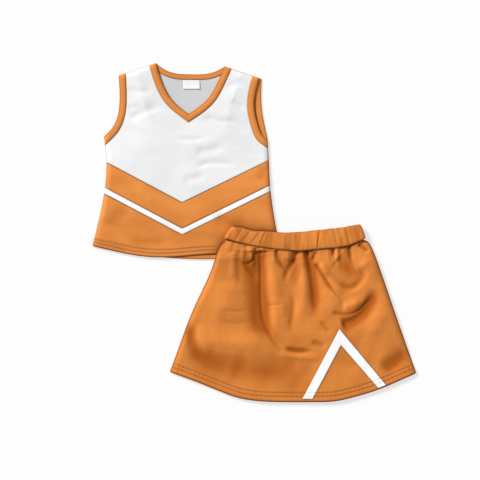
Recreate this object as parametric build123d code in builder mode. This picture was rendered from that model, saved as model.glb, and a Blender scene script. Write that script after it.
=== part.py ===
"""Child's cheer uniform, laid flat: a sleeveless top (the shell) and a pull-on skirt.

Both garments lie face up on a surface at z = 0, with the wearer's up along +Y. The origin is under the
middle of the whole set. Every garment has a back layer below and a front layer above, with room between
them, and the skirt's waist corner lies on top of the shell's hem corner. Sizes are in millimetres.
"""

import os

from build123d import *

os.makedirs("parts", exist_ok=True)

# ---- cloth and trim -------------------------------------------------------------------------------
CLOTH = 0.8  # one layer of polyester knit
BINDING_WALL = 0.6  # one layer of folded binding
BINDING_WIDTH = 11.0
BACK_NECK_WIDTH = 8.0  # the back neck's binding is narrower
THREAD = 0.3
ROW_WIDTH = 0.6  # width of a row of stitches
SEAM_WIDTH = 3.0  # seam allowance pressed between the layers
BRAID = 0.6  # thickness of the white braid on the skirt
CLEARANCE = 0.3

# ---- heights of the shell's layers ----------------------------------------------------------------
SHELL_BACK = BINDING_WALL  # underside of the back layer
SHELL_FRONT = 7.8  # underside of the front layer
SHELL_TOP = SHELL_FRONT + CLOTH
SHELL_HEM_DEPTH = 12.0

# ---- shell outline --------------------------------------------------------------------------------
NECK_LEFT = (-167.5, 287.1)
NECK_RIGHT = (-49.5, 281.5)
NECK_V = (-111.5, 200.3)
NECK_CURVE_LEFT = [(-155.6, 250.2), (-143.7, 228.8)]
NECK_CURVE_RIGHT = [(-64.5, 248.5), (-75.5, 230.0)]
NECK_SCOOP = (-115.0, 268.0)
SHOULDER_LEFT = (-229.5, 266.5)
SHOULDER_RIGHT = (12.0, 260.5)
ARMHOLE_LEFT = [(-228.0, 228.8), (-231.9, 195.5), (-239.5, 178.5)]
ARMHOLE_RIGHT = [(8.5, 228.8), (7.8, 200.3), (12.0, 177.0)]
UNDERARM_LEFT = (-255.0, 161.5)
UNDERARM_RIGHT = (22.5, 156.5)
SIDE_LEFT = [(-251.0, 119.0), (-254.5, 70.0)]
SIDE_RIGHT = [(24.5, 121.0), (28.0, 69.0)]
HEM_LEFT = (-274.9, -22.8)
HEM_MIDDLE = (-113.0, -44.5)
HEM_RIGHT = (45.5, -34.5)

# Chevron: where each seam meets the left side, the centre and the right side, with the ends run past.
CHEVRON_X = (-280.0, -122.0, 60.0)
BAND_TOP_Y = (134.3, 50.0, 139.0)
STRIPE_TOP_Y = (89.3, 5.8, 95.5)
STRIPE_BOTTOM_Y = (79.8, -3.7, 86.0)

# ---- skirt outline --------------------------------------------------------------------------------
WAIST_TOP = [(-31.0, 8.0), (44.0, 2.0), (94.0, 1.5), (130.0, 7.0), (176.0, 13.0)]
WAIST_SEAM = [(-44.5, -13.0), (20.0, -28.5), (76.0, -32.0), (140.0, -24.0), (187.5, -12.0)]
SKIRT_LEFT = [(-68.5, -50.5), (-104.2, -132.0), (-134.8, -213.5)]
SKIRT_HEM = [(-143.5, -236.6), (-43.0, -275.0), (66.0, -287.6), (173.0, -275.0), (274.9, -236.6)]
SKIRT_RIGHT = [(268.0, -213.5), (237.5, -132.0), (210.6, -54.0)]
SKIRT_HEM_DEPTH = 17.0

# ---- notch of the skirt: an upturned V of braid round a triangular insert --------------------------
NOTCH_TOP = (144.2, -163.2)
NOTCH_INNER = (147.0, -192.0)
NOTCH_LEFT_OUTER = (78.6, -288.0)
NOTCH_LEFT_INNER = (96.6, -288.0)
NOTCH_RIGHT_INNER = (223.5, -280.0)
NOTCH_RIGHT_OUTER = (241.5, -280.0)
BRAID_LIFT = 5.0  # the braid's ends stop this far above the hem edge

# ---- heights of the skirt's layers ----------------------------------------------------------------
SKIRT_LAY = 9.4  # where the waistband lies, on top of the shell
CASING_HEIGHT = 3.7  # one side of the waistband: cloth, elastic, cloth
WAIST_GAP = 4.8  # room between the front and the back of the waistband
HIP_GAP = 6.4  # room between front and back further down
ELASTIC = 1.5
ELASTIC_RISE = 5.0  # the elastic's lower edge above the waist seam
CASING_TOP = SKIRT_LAY + 2 * CASING_HEIGHT + WAIST_GAP
IN_CASING = (CASING_HEIGHT - CLOTH) / 2  # height of a panel's underside inside its casing
BACK_LINE = [(-300.0, 0.0), (-112.0, 0.0), (-58.0, SKIRT_LAY + IN_CASING), (60.0, SKIRT_LAY + IN_CASING)]
FRONT_BASE = CLOTH + HIP_GAP
FRONT_RAISED = SKIRT_LAY + CASING_HEIGHT + WAIST_GAP + IN_CASING
FRONT_LINE = [(-300.0, FRONT_BASE), (-125.0, FRONT_BASE), (-60.0, FRONT_RAISED), (60.0, FRONT_RAISED)]
PANEL_TUCK = 3.5  # how far a panel runs up into the casing

# ---- label ----------------------------------------------------------------------------------------
LABEL_LEFT = -120.4
LABEL_TOP = 258.2
LABEL_SIZE = (28.0, 15.0)
LABEL_THICKNESS = 0.4
LABEL_BASE = SHELL_BACK + CLOTH + BINDING_WALL + 0.1

FAR = 320.0  # past the edge of everything, for cutting shapes
COLUMN = 40.0  # taller than everything


def shifted(points, dy):
    """The same points, moved along Y."""
    return [(x, y + dy) for x, y in points]


def shell_outline(v_neck):
    """The shell's cut shape, with a V neck or a scooped one."""
    with BuildSketch(mode=Mode.PRIVATE) as outline:
        with BuildLine():
            Spline(SHOULDER_LEFT, *ARMHOLE_LEFT, UNDERARM_LEFT)
            Spline(UNDERARM_LEFT, *SIDE_LEFT, HEM_LEFT)
            ThreePointArc(HEM_LEFT, HEM_MIDDLE, HEM_RIGHT)
            Spline(HEM_RIGHT, *SIDE_RIGHT[::-1], UNDERARM_RIGHT)
            Spline(UNDERARM_RIGHT, *ARMHOLE_RIGHT[::-1], SHOULDER_RIGHT)
            Line(SHOULDER_RIGHT, NECK_RIGHT)
            if v_neck:
                Spline(NECK_RIGHT, *NECK_CURVE_RIGHT, NECK_V)
                Spline(NECK_V, *NECK_CURVE_LEFT[::-1], NECK_LEFT)
            else:
                ThreePointArc(NECK_RIGHT, NECK_SCOOP, NECK_LEFT)
            Line(NECK_LEFT, SHOULDER_LEFT)
        make_face()
    return outline.sketch


def chevron_region(upper, lower):
    """The area between two chevron seams, each given by its three heights."""
    with BuildSketch(mode=Mode.PRIVATE) as region:
        with BuildLine():
            Polyline(
                *zip(CHEVRON_X, upper),
                *reversed(list(zip(CHEVRON_X, lower))),
                close=True,
            )
        make_face()
    return region.sketch


def binding_strip(path, outline, width=BINDING_WIDTH):
    """A strip along a cut edge: the binding's width inside it, and one wall of binding outside it."""
    with BuildSketch(mode=Mode.PRIVATE) as strip:
        trace(path, line_width=2 * width)
        add(outline, mode=Mode.INTERSECT)
        trace(path, line_width=2 * BINDING_WALL)
    return strip.sketch


def neck_side(sign):
    """Everything on one side of the mitre at the V: left is -1, right is +1."""
    with BuildSketch(mode=Mode.PRIVATE) as side:
        with Locations((NECK_V[0] + sign * FAR / 2, NECK_V[1])):
            Rectangle(FAR, FAR * 2)
    return side.sketch


def plate(shape, base, height):
    """A plan shape raised from one height by a thickness."""
    with BuildPart(mode=Mode.PRIVATE) as made:
        with BuildSketch(Plane.XY.offset(base)):
            add(shape)
        extrude(amount=height)
    return made.part


def ribbon(lower, upper):
    """A bent sheet across the whole width, between two lines of (y, z) points."""
    with BuildPart(mode=Mode.PRIVATE) as made:
        with BuildSketch(Plane.YZ):
            with BuildLine():
                Polyline(*lower, *reversed(upper), close=True)
            make_face()
        extrude(amount=FAR, both=True)
    return made.part


def raised(line, dz):
    """A (y, z) line moved up by dz."""
    return [(y, z + dz) for y, z in line]


# ---- shell: panels --------------------------------------------------------------------------------
front_outline = shell_outline(True)
back_outline = shell_outline(False)
above_all = (FAR, FAR, FAR)
below_all = (-FAR, -FAR, -FAR)
panel_cuts = {
    "yoke": chevron_region(above_all, BAND_TOP_Y),
    "band": chevron_region(BAND_TOP_Y, STRIPE_TOP_Y),
    "stripe": chevron_region(STRIPE_TOP_Y, STRIPE_BOTTOM_Y),
    "hem_panel": chevron_region(STRIPE_BOTTOM_Y, below_all),
}
shell_sides = {"front": (front_outline, SHELL_FRONT), "back": (back_outline, SHELL_BACK)}
for side_name, (outline, base) in shell_sides.items():
    for cut_name, cut in panel_cuts.items():
        with BuildPart() as shell_panel:
            with BuildSketch(Plane.XY.offset(base)):
                add(outline)
                add(cut, mode=Mode.INTERSECT)
            extrude(amount=CLOTH)
        node = f"shell_{side_name}_{cut_name}"
        shell_panel.part.label = node
        export_step(shell_panel.part, f"parts/{node}.step")

# ---- shell: hems ----------------------------------------------------------------------------------


def shell_hem_strip(low, high):
    """The part of the shell between two heights above its hem edge."""
    with BuildSketch(mode=Mode.PRIVATE) as strip:
        with BuildLine():
            lower = ThreePointArc(*shifted([HEM_LEFT, HEM_MIDDLE, HEM_RIGHT], low))
            upper = ThreePointArc(*shifted([HEM_LEFT, HEM_MIDDLE, HEM_RIGHT], high))
            Line(lower @ 0, upper @ 0)
            Line(lower @ 1, upper @ 1)
        make_face()
        add(back_outline, mode=Mode.INTERSECT)
    return strip.sketch


shell_turnups = {}
turnup_heights = {"front": SHELL_FRONT - CLOTH, "back": SHELL_BACK + CLOTH}
for side_name, base in turnup_heights.items():
    with BuildPart() as shell_turnup:
        add(plate(shell_hem_strip(0.0, SHELL_HEM_DEPTH), base, CLOTH))
    node = f"shell_{side_name}_hem_turnup"
    shell_turnup.part.label = node
    shell_turnups[side_name] = shell_turnup.part
    export_step(shell_turnup.part, f"parts/{node}.step")

stitch_heights = {"front": SHELL_TOP, "back": SHELL_BACK - THREAD}
for side_name, base in stitch_heights.items():
    with BuildPart() as shell_stitching:
        for row in (SHELL_HEM_DEPTH - 4.0, SHELL_HEM_DEPTH - 1.5):
            add(plate(shell_hem_strip(row, row + ROW_WIDTH), base, THREAD))
    node = f"shell_{side_name}_hem_stitching"
    shell_stitching.part.label = node
    export_step(shell_stitching.part, f"parts/{node}.step")

# ---- shell: bindings ------------------------------------------------------------------------------
# Each binding is a strip folded round a cut edge, so the panel's own thickness is taken out of it.
front_layer = plate(front_outline, SHELL_FRONT, CLOTH)
back_layer = plate(back_outline, SHELL_BACK, CLOTH)
binding_depth = CLOTH + 2 * BINDING_WALL


def neck_line(start, through):
    """One side of the V neck, run on past its point so that the binding can be mitred there."""
    with BuildLine(mode=Mode.PRIVATE) as line:
        curve = Spline(start, *through, NECK_V)
        Line(curve @ 1, curve @ 1 + (curve % 1) * 2 * BINDING_WIDTH)
    return line.line


with BuildLine(mode=Mode.PRIVATE) as neck_line_back:
    ThreePointArc(NECK_RIGHT, NECK_SCOOP, NECK_LEFT)
with BuildLine(mode=Mode.PRIVATE) as armhole_line_left:
    Spline(SHOULDER_LEFT, *ARMHOLE_LEFT, UNDERARM_LEFT)
with BuildLine(mode=Mode.PRIVATE) as armhole_line_right:
    Spline(UNDERARM_RIGHT, *ARMHOLE_RIGHT[::-1], SHOULDER_RIGHT)

neck_lines = {
    "left": (neck_line(NECK_LEFT, NECK_CURVE_LEFT), -1),
    "right": (neck_line(NECK_RIGHT, NECK_CURVE_RIGHT), 1),
}
binding_parts = []
for side_name, (line, sign) in neck_lines.items():
    with BuildPart() as neck_binding:
        with BuildSketch(Plane.XY.offset(SHELL_FRONT - BINDING_WALL)):
            add(binding_strip(line, front_outline))
            add(neck_side(sign), mode=Mode.INTERSECT)
        extrude(amount=binding_depth)
        add(front_layer, mode=Mode.SUBTRACT)
    node = f"neck_binding_front_{side_name}"
    neck_binding.part.label = node
    binding_parts.append(neck_binding.part)
    export_step(neck_binding.part, f"parts/{node}.step")

with BuildPart() as neck_binding_back:
    back_neck_strip = binding_strip(neck_line_back.line, back_outline, BACK_NECK_WIDTH)
    add(plate(back_neck_strip, SHELL_BACK - BINDING_WALL, binding_depth))
    add(back_layer, mode=Mode.SUBTRACT)
neck_binding_back.part.label = "neck_binding_back"
binding_parts.append(neck_binding_back.part)
export_step(neck_binding_back.part, "parts/neck_binding_back.step")

armhole_lines = {"left": armhole_line_left.line, "right": armhole_line_right.line}
armhole_layers = {
    "front": (front_outline, front_layer, SHELL_FRONT),
    "back": (back_outline, back_layer, SHELL_BACK),
}
for side_name, line in armhole_lines.items():
    for layer_name, (outline, layer, base) in armhole_layers.items():
        with BuildPart() as armhole_binding:
            add(plate(binding_strip(line, outline), base - BINDING_WALL, binding_depth))
            add(layer, mode=Mode.SUBTRACT)
        node = f"armhole_binding_{side_name}_{layer_name}"
        armhole_binding.part.label = node
        binding_parts.append(armhole_binding.part)
        export_step(armhole_binding.part, f"parts/{node}.step")

# ---- shell: seams between front and back ----------------------------------------------------------
inner_base = SHELL_BACK + CLOTH
inner_height = SHELL_FRONT - inner_base
shoulder_lines = {"left": (NECK_LEFT, SHOULDER_LEFT), "right": (NECK_RIGHT, SHOULDER_RIGHT)}
for side_name, (start, end) in shoulder_lines.items():
    with BuildPart() as shoulder_seam:
        with BuildSketch(Plane.XY.offset(inner_base)):
            with BuildLine():
                Line(start, end)
            trace(line_width=2 * SEAM_WIDTH)
            add(front_outline, mode=Mode.INTERSECT)
        extrude(amount=inner_height)
        add(binding_parts, mode=Mode.SUBTRACT)
    node = f"shoulder_seam_{side_name}"
    shoulder_seam.part.label = node
    export_step(shoulder_seam.part, f"parts/{node}.step")

side_lines = {
    "left": (UNDERARM_LEFT, *SIDE_LEFT, HEM_LEFT),
    "right": (UNDERARM_RIGHT, *SIDE_RIGHT, HEM_RIGHT),
}
for side_name, points in side_lines.items():
    with BuildPart() as side_seam:
        with BuildSketch(Plane.XY.offset(inner_base)):
            with BuildLine():
                Spline(*points)
            trace(line_width=2 * SEAM_WIDTH)
            add(front_outline, mode=Mode.INTERSECT)
        extrude(amount=inner_height)
        add(binding_parts, mode=Mode.SUBTRACT)
        add(list(shell_turnups.values()), mode=Mode.SUBTRACT)
    node = f"side_seam_{side_name}"
    side_seam.part.label = node
    export_step(side_seam.part, f"parts/{node}.step")

# ---- shell: label ---------------------------------------------------------------------------------
label_middle = (LABEL_LEFT + LABEL_SIZE[0] / 2, LABEL_TOP - LABEL_SIZE[1] / 2)
with BuildPart() as neck_label:
    with BuildSketch(Plane.XY.offset(LABEL_BASE)):
        with Locations(label_middle):
            Rectangle(*LABEL_SIZE)
    extrude(amount=LABEL_THICKNESS)
    fillet(neck_label.edges().filter_by(Axis.Z).group_by(Axis.Y)[0], radius=0.8)
neck_label.part.label = "neck_label"
export_step(neck_label.part, "parts/neck_label.step")

with BuildPart() as neck_label_stitching:
    with BuildSketch(Plane.XY.offset(inner_base)):
        with Locations((label_middle[0], LABEL_TOP + CLEARANCE + ROW_WIDTH / 2)):
            Rectangle(LABEL_SIZE[0], ROW_WIDTH)
    extrude(amount=THREAD)
neck_label_stitching.part.label = "neck_label_stitching"
export_step(neck_label_stitching.part, "parts/neck_label_stitching.step")

# ---- skirt: plan shapes ---------------------------------------------------------------------------


def skirt_outline():
    """The skirt below its waist seam."""
    with BuildSketch(mode=Mode.PRIVATE) as outline:
        with BuildLine():
            Spline(*WAIST_SEAM)
            Spline(WAIST_SEAM[0], *SKIRT_LEFT, SKIRT_HEM[0])
            Spline(*SKIRT_HEM)
            Spline(SKIRT_HEM[-1], *SKIRT_RIGHT, WAIST_SEAM[-1])
        make_face()
    return outline.sketch


def skirt_hem_strip(low, high):
    """The part of the skirt between two heights above its hem edge."""
    with BuildSketch(mode=Mode.PRIVATE) as strip:
        with BuildLine():
            lower = Spline(*shifted(SKIRT_HEM, low))
            upper = Spline(*shifted(SKIRT_HEM, high))
            Line(lower @ 0, upper @ 0)
            Line(lower @ 1, upper @ 1)
        make_face()
        add(skirt_outline(), mode=Mode.INTERSECT)
    return strip.sketch


def beyond_curve(points, far_y):
    """Everything between a curve across the garment and a far level of Y."""
    with BuildSketch(mode=Mode.PRIVATE) as region:
        with BuildLine():
            curve = Spline(*points)
            Polyline(
                curve @ 1,
                (FAR, points[-1][1]),
                (FAR, far_y),
                (-FAR, far_y),
                (-FAR, points[0][1]),
                curve @ 0,
            )
        make_face()
    return region.sketch


def between_ends(inset):
    """Everything between the waistband's two slanting ends, each moved inwards."""
    left = [(WAIST_TOP[0][0] + inset, WAIST_TOP[0][1]), (WAIST_SEAM[0][0] + inset, WAIST_SEAM[0][1])]
    right = [(WAIST_SEAM[-1][0] - inset, WAIST_SEAM[-1][1]), (WAIST_TOP[-1][0] - inset, WAIST_TOP[-1][1])]
    with BuildSketch(mode=Mode.PRIVATE) as region:
        with BuildLine():
            Polyline(
                (left[0][0], FAR),
                *left,
                (left[1][0], -FAR),
                (right[0][0], -FAR),
                *right,
                (right[1][0], FAR),
                close=True,
            )
        make_face()
    return region.sketch


def waistband_outline(end_inset, top_inset, bottom_inset):
    """The waistband's curved strip, made smaller at its ends, its top edge and its bottom edge."""
    with BuildSketch(mode=Mode.PRIVATE) as outline:
        add(between_ends(end_inset))
        add(beyond_curve(shifted(WAIST_TOP, -top_inset), -FAR), mode=Mode.INTERSECT)
        add(beyond_curve(shifted(WAIST_SEAM, bottom_inset), FAR), mode=Mode.INTERSECT)
    return outline.sketch


# ---- skirt: waistband, a closed loop of folded casing round a loop of elastic ---------------------
# A flattened ring is everything inside its outer face, less the space inside its inner face.
def flat_ring_space(inset, top_inset, bottom_inset):
    """The waistband's space, made smaller all round in height and at its ends by one inset."""
    outline = waistband_outline(inset, top_inset, bottom_inset)
    return plate(outline, SKIRT_LAY + inset, CASING_TOP - SKIRT_LAY - 2 * inset)


PAST = -40.0  # an inset that runs a cut past the waistband's edge
elastic_outer = CLOTH + CLEARANCE
elastic_inner = elastic_outer + ELASTIC
middle_height = SKIRT_LAY + CASING_HEIGHT + WAIST_GAP / 2
elastic_space = flat_ring_space(CLOTH, CLOTH, PAST) - flat_ring_space(CASING_HEIGHT - CLOTH, PAST, PAST)
with BuildPart() as casing:
    add(flat_ring_space(0.0, 0.0, 0.0))
    add(flat_ring_space(CASING_HEIGHT, PAST, PAST), mode=Mode.SUBTRACT)
    add(elastic_space, mode=Mode.SUBTRACT)

for node, keep in {"waistband_front": Keep.TOP, "waistband_back": Keep.BOTTOM}.items():
    with BuildPart() as waistband:
        add(casing.part)
        split(bisect_by=Plane.XY.offset(middle_height), keep=keep)
    waistband.part.label = node
    export_step(waistband.part, f"parts/{node}.step")

with BuildPart() as waist_elastic:
    add(flat_ring_space(elastic_outer, elastic_outer, ELASTIC_RISE))
    add(flat_ring_space(elastic_inner, PAST, PAST), mode=Mode.SUBTRACT)
waist_elastic.part.label = "waist_elastic"
export_step(waist_elastic.part, "parts/waist_elastic.step")

seam_heights = {"front": CASING_TOP, "back": SKIRT_LAY - THREAD}
for side_name, base in seam_heights.items():
    with BuildPart() as waist_seam:
        with BuildSketch(Plane.XY.offset(base)):
            add(waistband_outline(CLOTH, 0.0, SEAM_WIDTH))
            add(waistband_outline(0.0, 0.0, SEAM_WIDTH + ROW_WIDTH), mode=Mode.SUBTRACT)
        extrude(amount=THREAD)
    node = f"waist_seam_{side_name}"
    waist_seam.part.label = node
    export_step(waist_seam.part, f"parts/{node}.step")

# ---- skirt: panels --------------------------------------------------------------------------------
# A panel is a bent sheet cut to the skirt's plan shape. Its top edge is tucked into the casing.
with BuildSketch(mode=Mode.PRIVATE) as panel_shape:
    add(waistband_outline(elastic_outer, 0.0, -1.0))
    add(beyond_curve(shifted(WAIST_SEAM, PANEL_TUCK), FAR), mode=Mode.SUBTRACT)
    add(skirt_outline())

notch_apex = ((NOTCH_TOP[0] + NOTCH_INNER[0]) / 2, (NOTCH_TOP[1] + NOTCH_INNER[1]) / 2)
notch_left = ((NOTCH_LEFT_OUTER[0] + NOTCH_LEFT_INNER[0]) / 2, NOTCH_LEFT_OUTER[1])
notch_right = ((NOTCH_RIGHT_OUTER[0] + NOTCH_RIGHT_INNER[0]) / 2, NOTCH_RIGHT_OUTER[1])
with BuildSketch(mode=Mode.PRIVATE) as notch_shape:
    with BuildLine():
        Polyline(notch_apex, notch_left, notch_right, close=True)
    make_face()

front_sheet = ribbon(FRONT_LINE, raised(FRONT_LINE, CLOTH))
back_sheet = ribbon(BACK_LINE, raised(BACK_LINE, CLOTH))
between_sheets = ribbon(raised(BACK_LINE, CLOTH), FRONT_LINE)

with BuildPart() as skirt_front_panel:
    add(plate(panel_shape.sketch, 0.0, COLUMN))
    add(front_sheet, mode=Mode.INTERSECT)
    add(plate(notch_shape.sketch, 0.0, COLUMN), mode=Mode.SUBTRACT)
skirt_front_panel.part.label = "skirt_front_panel"
export_step(skirt_front_panel.part, "parts/skirt_front_panel.step")

with BuildPart() as skirt_godet:
    with BuildSketch(Plane.XY.offset(FRONT_BASE)):
        add(panel_shape.sketch)
        add(notch_shape.sketch, mode=Mode.INTERSECT)
    extrude(amount=CLOTH)
skirt_godet.part.label = "skirt_godet"
export_step(skirt_godet.part, "parts/skirt_godet.step")

with BuildPart() as skirt_back_panel:
    add(plate(panel_shape.sketch, 0.0, COLUMN))
    add(back_sheet, mode=Mode.INTERSECT)
skirt_back_panel.part.label = "skirt_back_panel"
export_step(skirt_back_panel.part, "parts/skirt_back_panel.step")

# ---- skirt: hems ----------------------------------------------------------------------------------
skirt_turnups = {}
for side_name, base in {"front": FRONT_BASE - CLOTH, "back": CLOTH}.items():
    with BuildPart() as skirt_turnup:
        add(plate(skirt_hem_strip(0.0, SKIRT_HEM_DEPTH), base, CLOTH))
    node = f"skirt_{side_name}_hem_turnup"
    skirt_turnup.part.label = node
    skirt_turnups[side_name] = skirt_turnup.part
    export_step(skirt_turnup.part, f"parts/{node}.step")

# ---- skirt: braid round the notch -----------------------------------------------------------------
braid_edges = {
    "left": (NOTCH_TOP, NOTCH_LEFT_OUTER, NOTCH_LEFT_INNER, NOTCH_INNER),
    "right": (NOTCH_TOP, NOTCH_RIGHT_OUTER, NOTCH_RIGHT_INNER, NOTCH_INNER),
}
braids = []
for side_name, corners in braid_edges.items():
    with BuildPart() as notch_stripe:
        with BuildSketch(Plane.XY.offset(FRONT_BASE + CLOTH)):
            with BuildLine():
                Polyline(*corners, close=True)
            make_face()
            add(skirt_outline(), mode=Mode.INTERSECT)
            add(skirt_hem_strip(0.0, BRAID_LIFT), mode=Mode.SUBTRACT)
        extrude(amount=BRAID)
    node = f"skirt_notch_stripe_{side_name}"
    notch_stripe.part.label = node
    braids.append(notch_stripe.part)
    export_step(notch_stripe.part, f"parts/{node}.step")

stitching_parts = []
for side_name, base in {"front": FRONT_BASE + CLOTH, "back": 2 * CLOTH}.items():
    with BuildPart() as skirt_stitching:
        for row in (SKIRT_HEM_DEPTH - 8.0, SKIRT_HEM_DEPTH - 1.5):
            add(plate(skirt_hem_strip(row, row + ROW_WIDTH), base, THREAD))
        add(braids, mode=Mode.SUBTRACT)
    node = f"skirt_{side_name}_hem_stitching"
    skirt_stitching.part.label = node
    stitching_parts.append(skirt_stitching.part)
    export_step(skirt_stitching.part, f"parts/{node}.step")

# ---- skirt: side seams ----------------------------------------------------------------------------
skirt_sides = {
    "left": (WAIST_SEAM[0], *SKIRT_LEFT, SKIRT_HEM[0]),
    "right": (WAIST_SEAM[-1], *SKIRT_RIGHT[::-1], SKIRT_HEM[-1]),
}
for side_name, points in skirt_sides.items():
    with BuildPart() as skirt_side_seam:
        with BuildSketch():
            with BuildLine():
                Spline(*points)
            trace(line_width=2 * SEAM_WIDTH)
            add(skirt_outline(), mode=Mode.INTERSECT)
        extrude(amount=COLUMN)
        add(between_sheets, mode=Mode.INTERSECT)
        add(list(skirt_turnups.values()), mode=Mode.SUBTRACT)
        add(stitching_parts, mode=Mode.SUBTRACT)
        add(casing.part, mode=Mode.SUBTRACT)
    node = f"skirt_side_seam_{side_name}"
    skirt_side_seam.part.label = node
    export_step(skirt_side_seam.part, f"parts/{node}.step")
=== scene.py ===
"""Child's cheer uniform laid flat: knit panels, folded bindings, hems, stitching, braid and label.

Every piece is worked out as a surface over the plan that the cloth lies on. Plan points are written in
millimetres, as a pattern cutter would, and every mesh is in metres. One height function for each layer
of cloth says how it lies, so panels that are sewn together meet exactly along their seams.
"""

import logging
from collections.abc import Callable, Sequence
from dataclasses import dataclass
from enum import Enum

import bpy
import numpy as np
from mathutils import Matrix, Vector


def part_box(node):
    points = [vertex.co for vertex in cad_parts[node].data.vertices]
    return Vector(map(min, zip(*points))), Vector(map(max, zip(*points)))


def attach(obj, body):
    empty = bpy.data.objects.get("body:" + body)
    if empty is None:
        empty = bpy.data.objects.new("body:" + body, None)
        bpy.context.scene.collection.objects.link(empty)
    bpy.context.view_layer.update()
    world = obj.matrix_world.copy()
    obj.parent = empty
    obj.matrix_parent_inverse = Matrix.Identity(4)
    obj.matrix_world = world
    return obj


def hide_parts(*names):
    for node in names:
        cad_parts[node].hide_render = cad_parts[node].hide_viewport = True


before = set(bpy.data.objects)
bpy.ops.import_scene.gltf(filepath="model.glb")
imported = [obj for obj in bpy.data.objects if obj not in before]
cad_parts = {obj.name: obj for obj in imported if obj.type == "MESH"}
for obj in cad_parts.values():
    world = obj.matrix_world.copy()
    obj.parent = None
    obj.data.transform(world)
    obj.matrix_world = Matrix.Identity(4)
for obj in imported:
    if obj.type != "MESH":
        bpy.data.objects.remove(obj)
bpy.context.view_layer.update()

log = logging.getLogger("uniform")

MM = 0.001
CLOTH = 0.8 * MM
FOLDED_CLOTH = 0.6 * MM
SEAM_CLOTH = 0.3 * MM
THREAD_LIFT = 0.05 * MM
NARROWEST = 10.2 * MM  # the least width that a sheet's cut may be given
Array = np.ndarray
Point = tuple[float, float]
Height = Callable[[Array], Array]


class Body(Enum):
    """The bodies that pieces ride on."""

    SHELL = "shell"
    SKIRT = "skirt"
    LABEL = "neck_label"


class Layer(Enum):
    """The two layers of a garment that lies flat."""

    FRONT = "front"
    BACK = "back"

    @property
    def sign(self) -> float:
        """1 where the outer face looks up, and -1 where it looks down."""
        return 1.0 if self is Layer.FRONT else -1.0


class Side(Enum):
    """The wearer's sides as they are seen from above."""

    LEFT = "left"
    RIGHT = "right"


# Curves and fields


def lengths(line: Array) -> Array:
    """How far along a line of straight pieces each of its points is."""
    return np.concatenate([[0.0], np.cumsum(np.linalg.norm(np.diff(line, axis=0), axis=1))])


def at_lengths(line: Array, at: Array) -> Array:
    """The points that are given lengths along a line."""
    along = lengths(line)
    return np.stack([np.interp(at, along, line[:, k]) for k in range(line.shape[1])], axis=1)


def even(line: Array, count: int) -> Array:
    """Points spaced evenly along a line, with its own first and last point."""
    return at_lengths(line, np.linspace(0.0, lengths(line)[-1], count))


def spaced(line: Array, shares: Array | list[float]) -> Array:
    """Points at given shares of a line's length."""
    return at_lengths(line, np.asarray(shares) * lengths(line)[-1])


def curve(points: Sequence[Point], count: int = 200) -> Array:
    """A smooth curve through plan points in millimetres.

    It is a natural cubic spline by chord length: each span is a cubic whose second derivative runs
    straight from one knot's value to the next, and is nothing at the two ends.

    Args:
        points: the knots, in millimetres.
        count: how many even points to return.

    Returns:
        The curve's points in metres.
    """
    knots = np.array(points, float) * MM
    chord = lengths(knots)
    step = np.diff(chord)
    size = len(knots)
    matrix = np.eye(size)
    right = np.zeros_like(knots)
    inner = np.arange(1, size - 1)
    matrix[inner, inner - 1] = step[:-1]
    matrix[inner, inner] = 2 * (step[:-1] + step[1:])
    matrix[inner, inner + 1] = step[1:]
    slope = np.diff(knots, axis=0) / step[:, None]
    right[1:-1] = 6 * np.diff(slope, axis=0)
    bend = np.linalg.solve(matrix, right)
    at = np.linspace(0.0, chord[-1], 12 * count)
    span = np.clip(np.searchsorted(chord, at, side="right") - 1, 0, size - 2)
    width = step[span][:, None]
    after = (at - chord[span])[:, None]
    before = width - after
    dense = (bend[span] * before**3 + bend[span + 1] * after**3) / (6 * width)
    dense += (knots[span] / width - bend[span] * width / 6) * before
    dense += (knots[span + 1] / width - bend[span + 1] * width / 6) * after
    return even(dense, count)


def straight(points: Sequence[Point], count: int = 200) -> Array:
    """Even points along straight pieces between plan points in millimetres."""
    return even(np.array(points, float) * MM, count)


def arc(points: Sequence[Point], count: int = 200) -> Array:
    """The circular arc through three plan points in millimetres.

    Args:
        points: the start, a point on the way, and the end.
        count: how many even points to return.

    Returns:
        The arc's points in metres.
    """
    a, b, c = (complex(*p) * MM for p in points)
    w = (c - a) / (b - a)
    middle = (b - a) * (w - abs(w) ** 2) / (2j * w.imag) + a
    turns = [np.angle((p - middle) / (a - middle)) for p in (b, c)]
    sweep = turns[1] if turns[0] * turns[1] > 0 else turns[1] - 2 * np.pi * np.sign(turns[1])
    around = middle + (a - middle) * np.exp(1j * np.linspace(0.0, sweep, count))
    return np.stack([around.real, around.imag], axis=1)


def joined(*parts: Array) -> Array:
    """Curves run together end to end, each shared end kept once."""
    return np.concatenate([parts[0], *(part[1:] for part in parts[1:])])


def part_of(line: Array, start: float, stop: float, count: int) -> Array:
    """Even points along a share of a line, from one share of its length to another."""
    whole = even(line, 2000)
    at = np.linspace(start, stop, 400) * (len(whole) - 1)
    places = np.arange(len(whole))
    cut = np.stack([np.interp(at, places, whole[:, k]) for k in range(2)], axis=1)
    return even(cut, count)


def crossing(line: Array, low: Point, high: Point) -> float:
    """The share of a line's length at which it crosses the straight line through two points.

    Args:
        line: the line that is cut.
        low: one point of the straight cut, in millimetres.
        high: another point of it.

    Returns:
        A share from 0 to 1.
    """
    whole = even(line, 2000)
    a, b = np.array(low) * MM, np.array(high) * MM
    side = (b[0] - a[0]) * (whole[:, 1] - a[1]) - (b[1] - a[1]) * (whole[:, 0] - a[0])
    change = np.nonzero(side[:-1] * side[1:] <= 0)[0][0]
    return (change + side[change] / (side[change] - side[change + 1])) / (len(whole) - 1)


def smooth(t: Array) -> Array:
    """A ramp from 0 to 1 with level ends: three t squared less two t cubed."""
    t = np.clip(t, 0.0, 1.0)
    return t * t * (3 - 2 * t)


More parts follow.
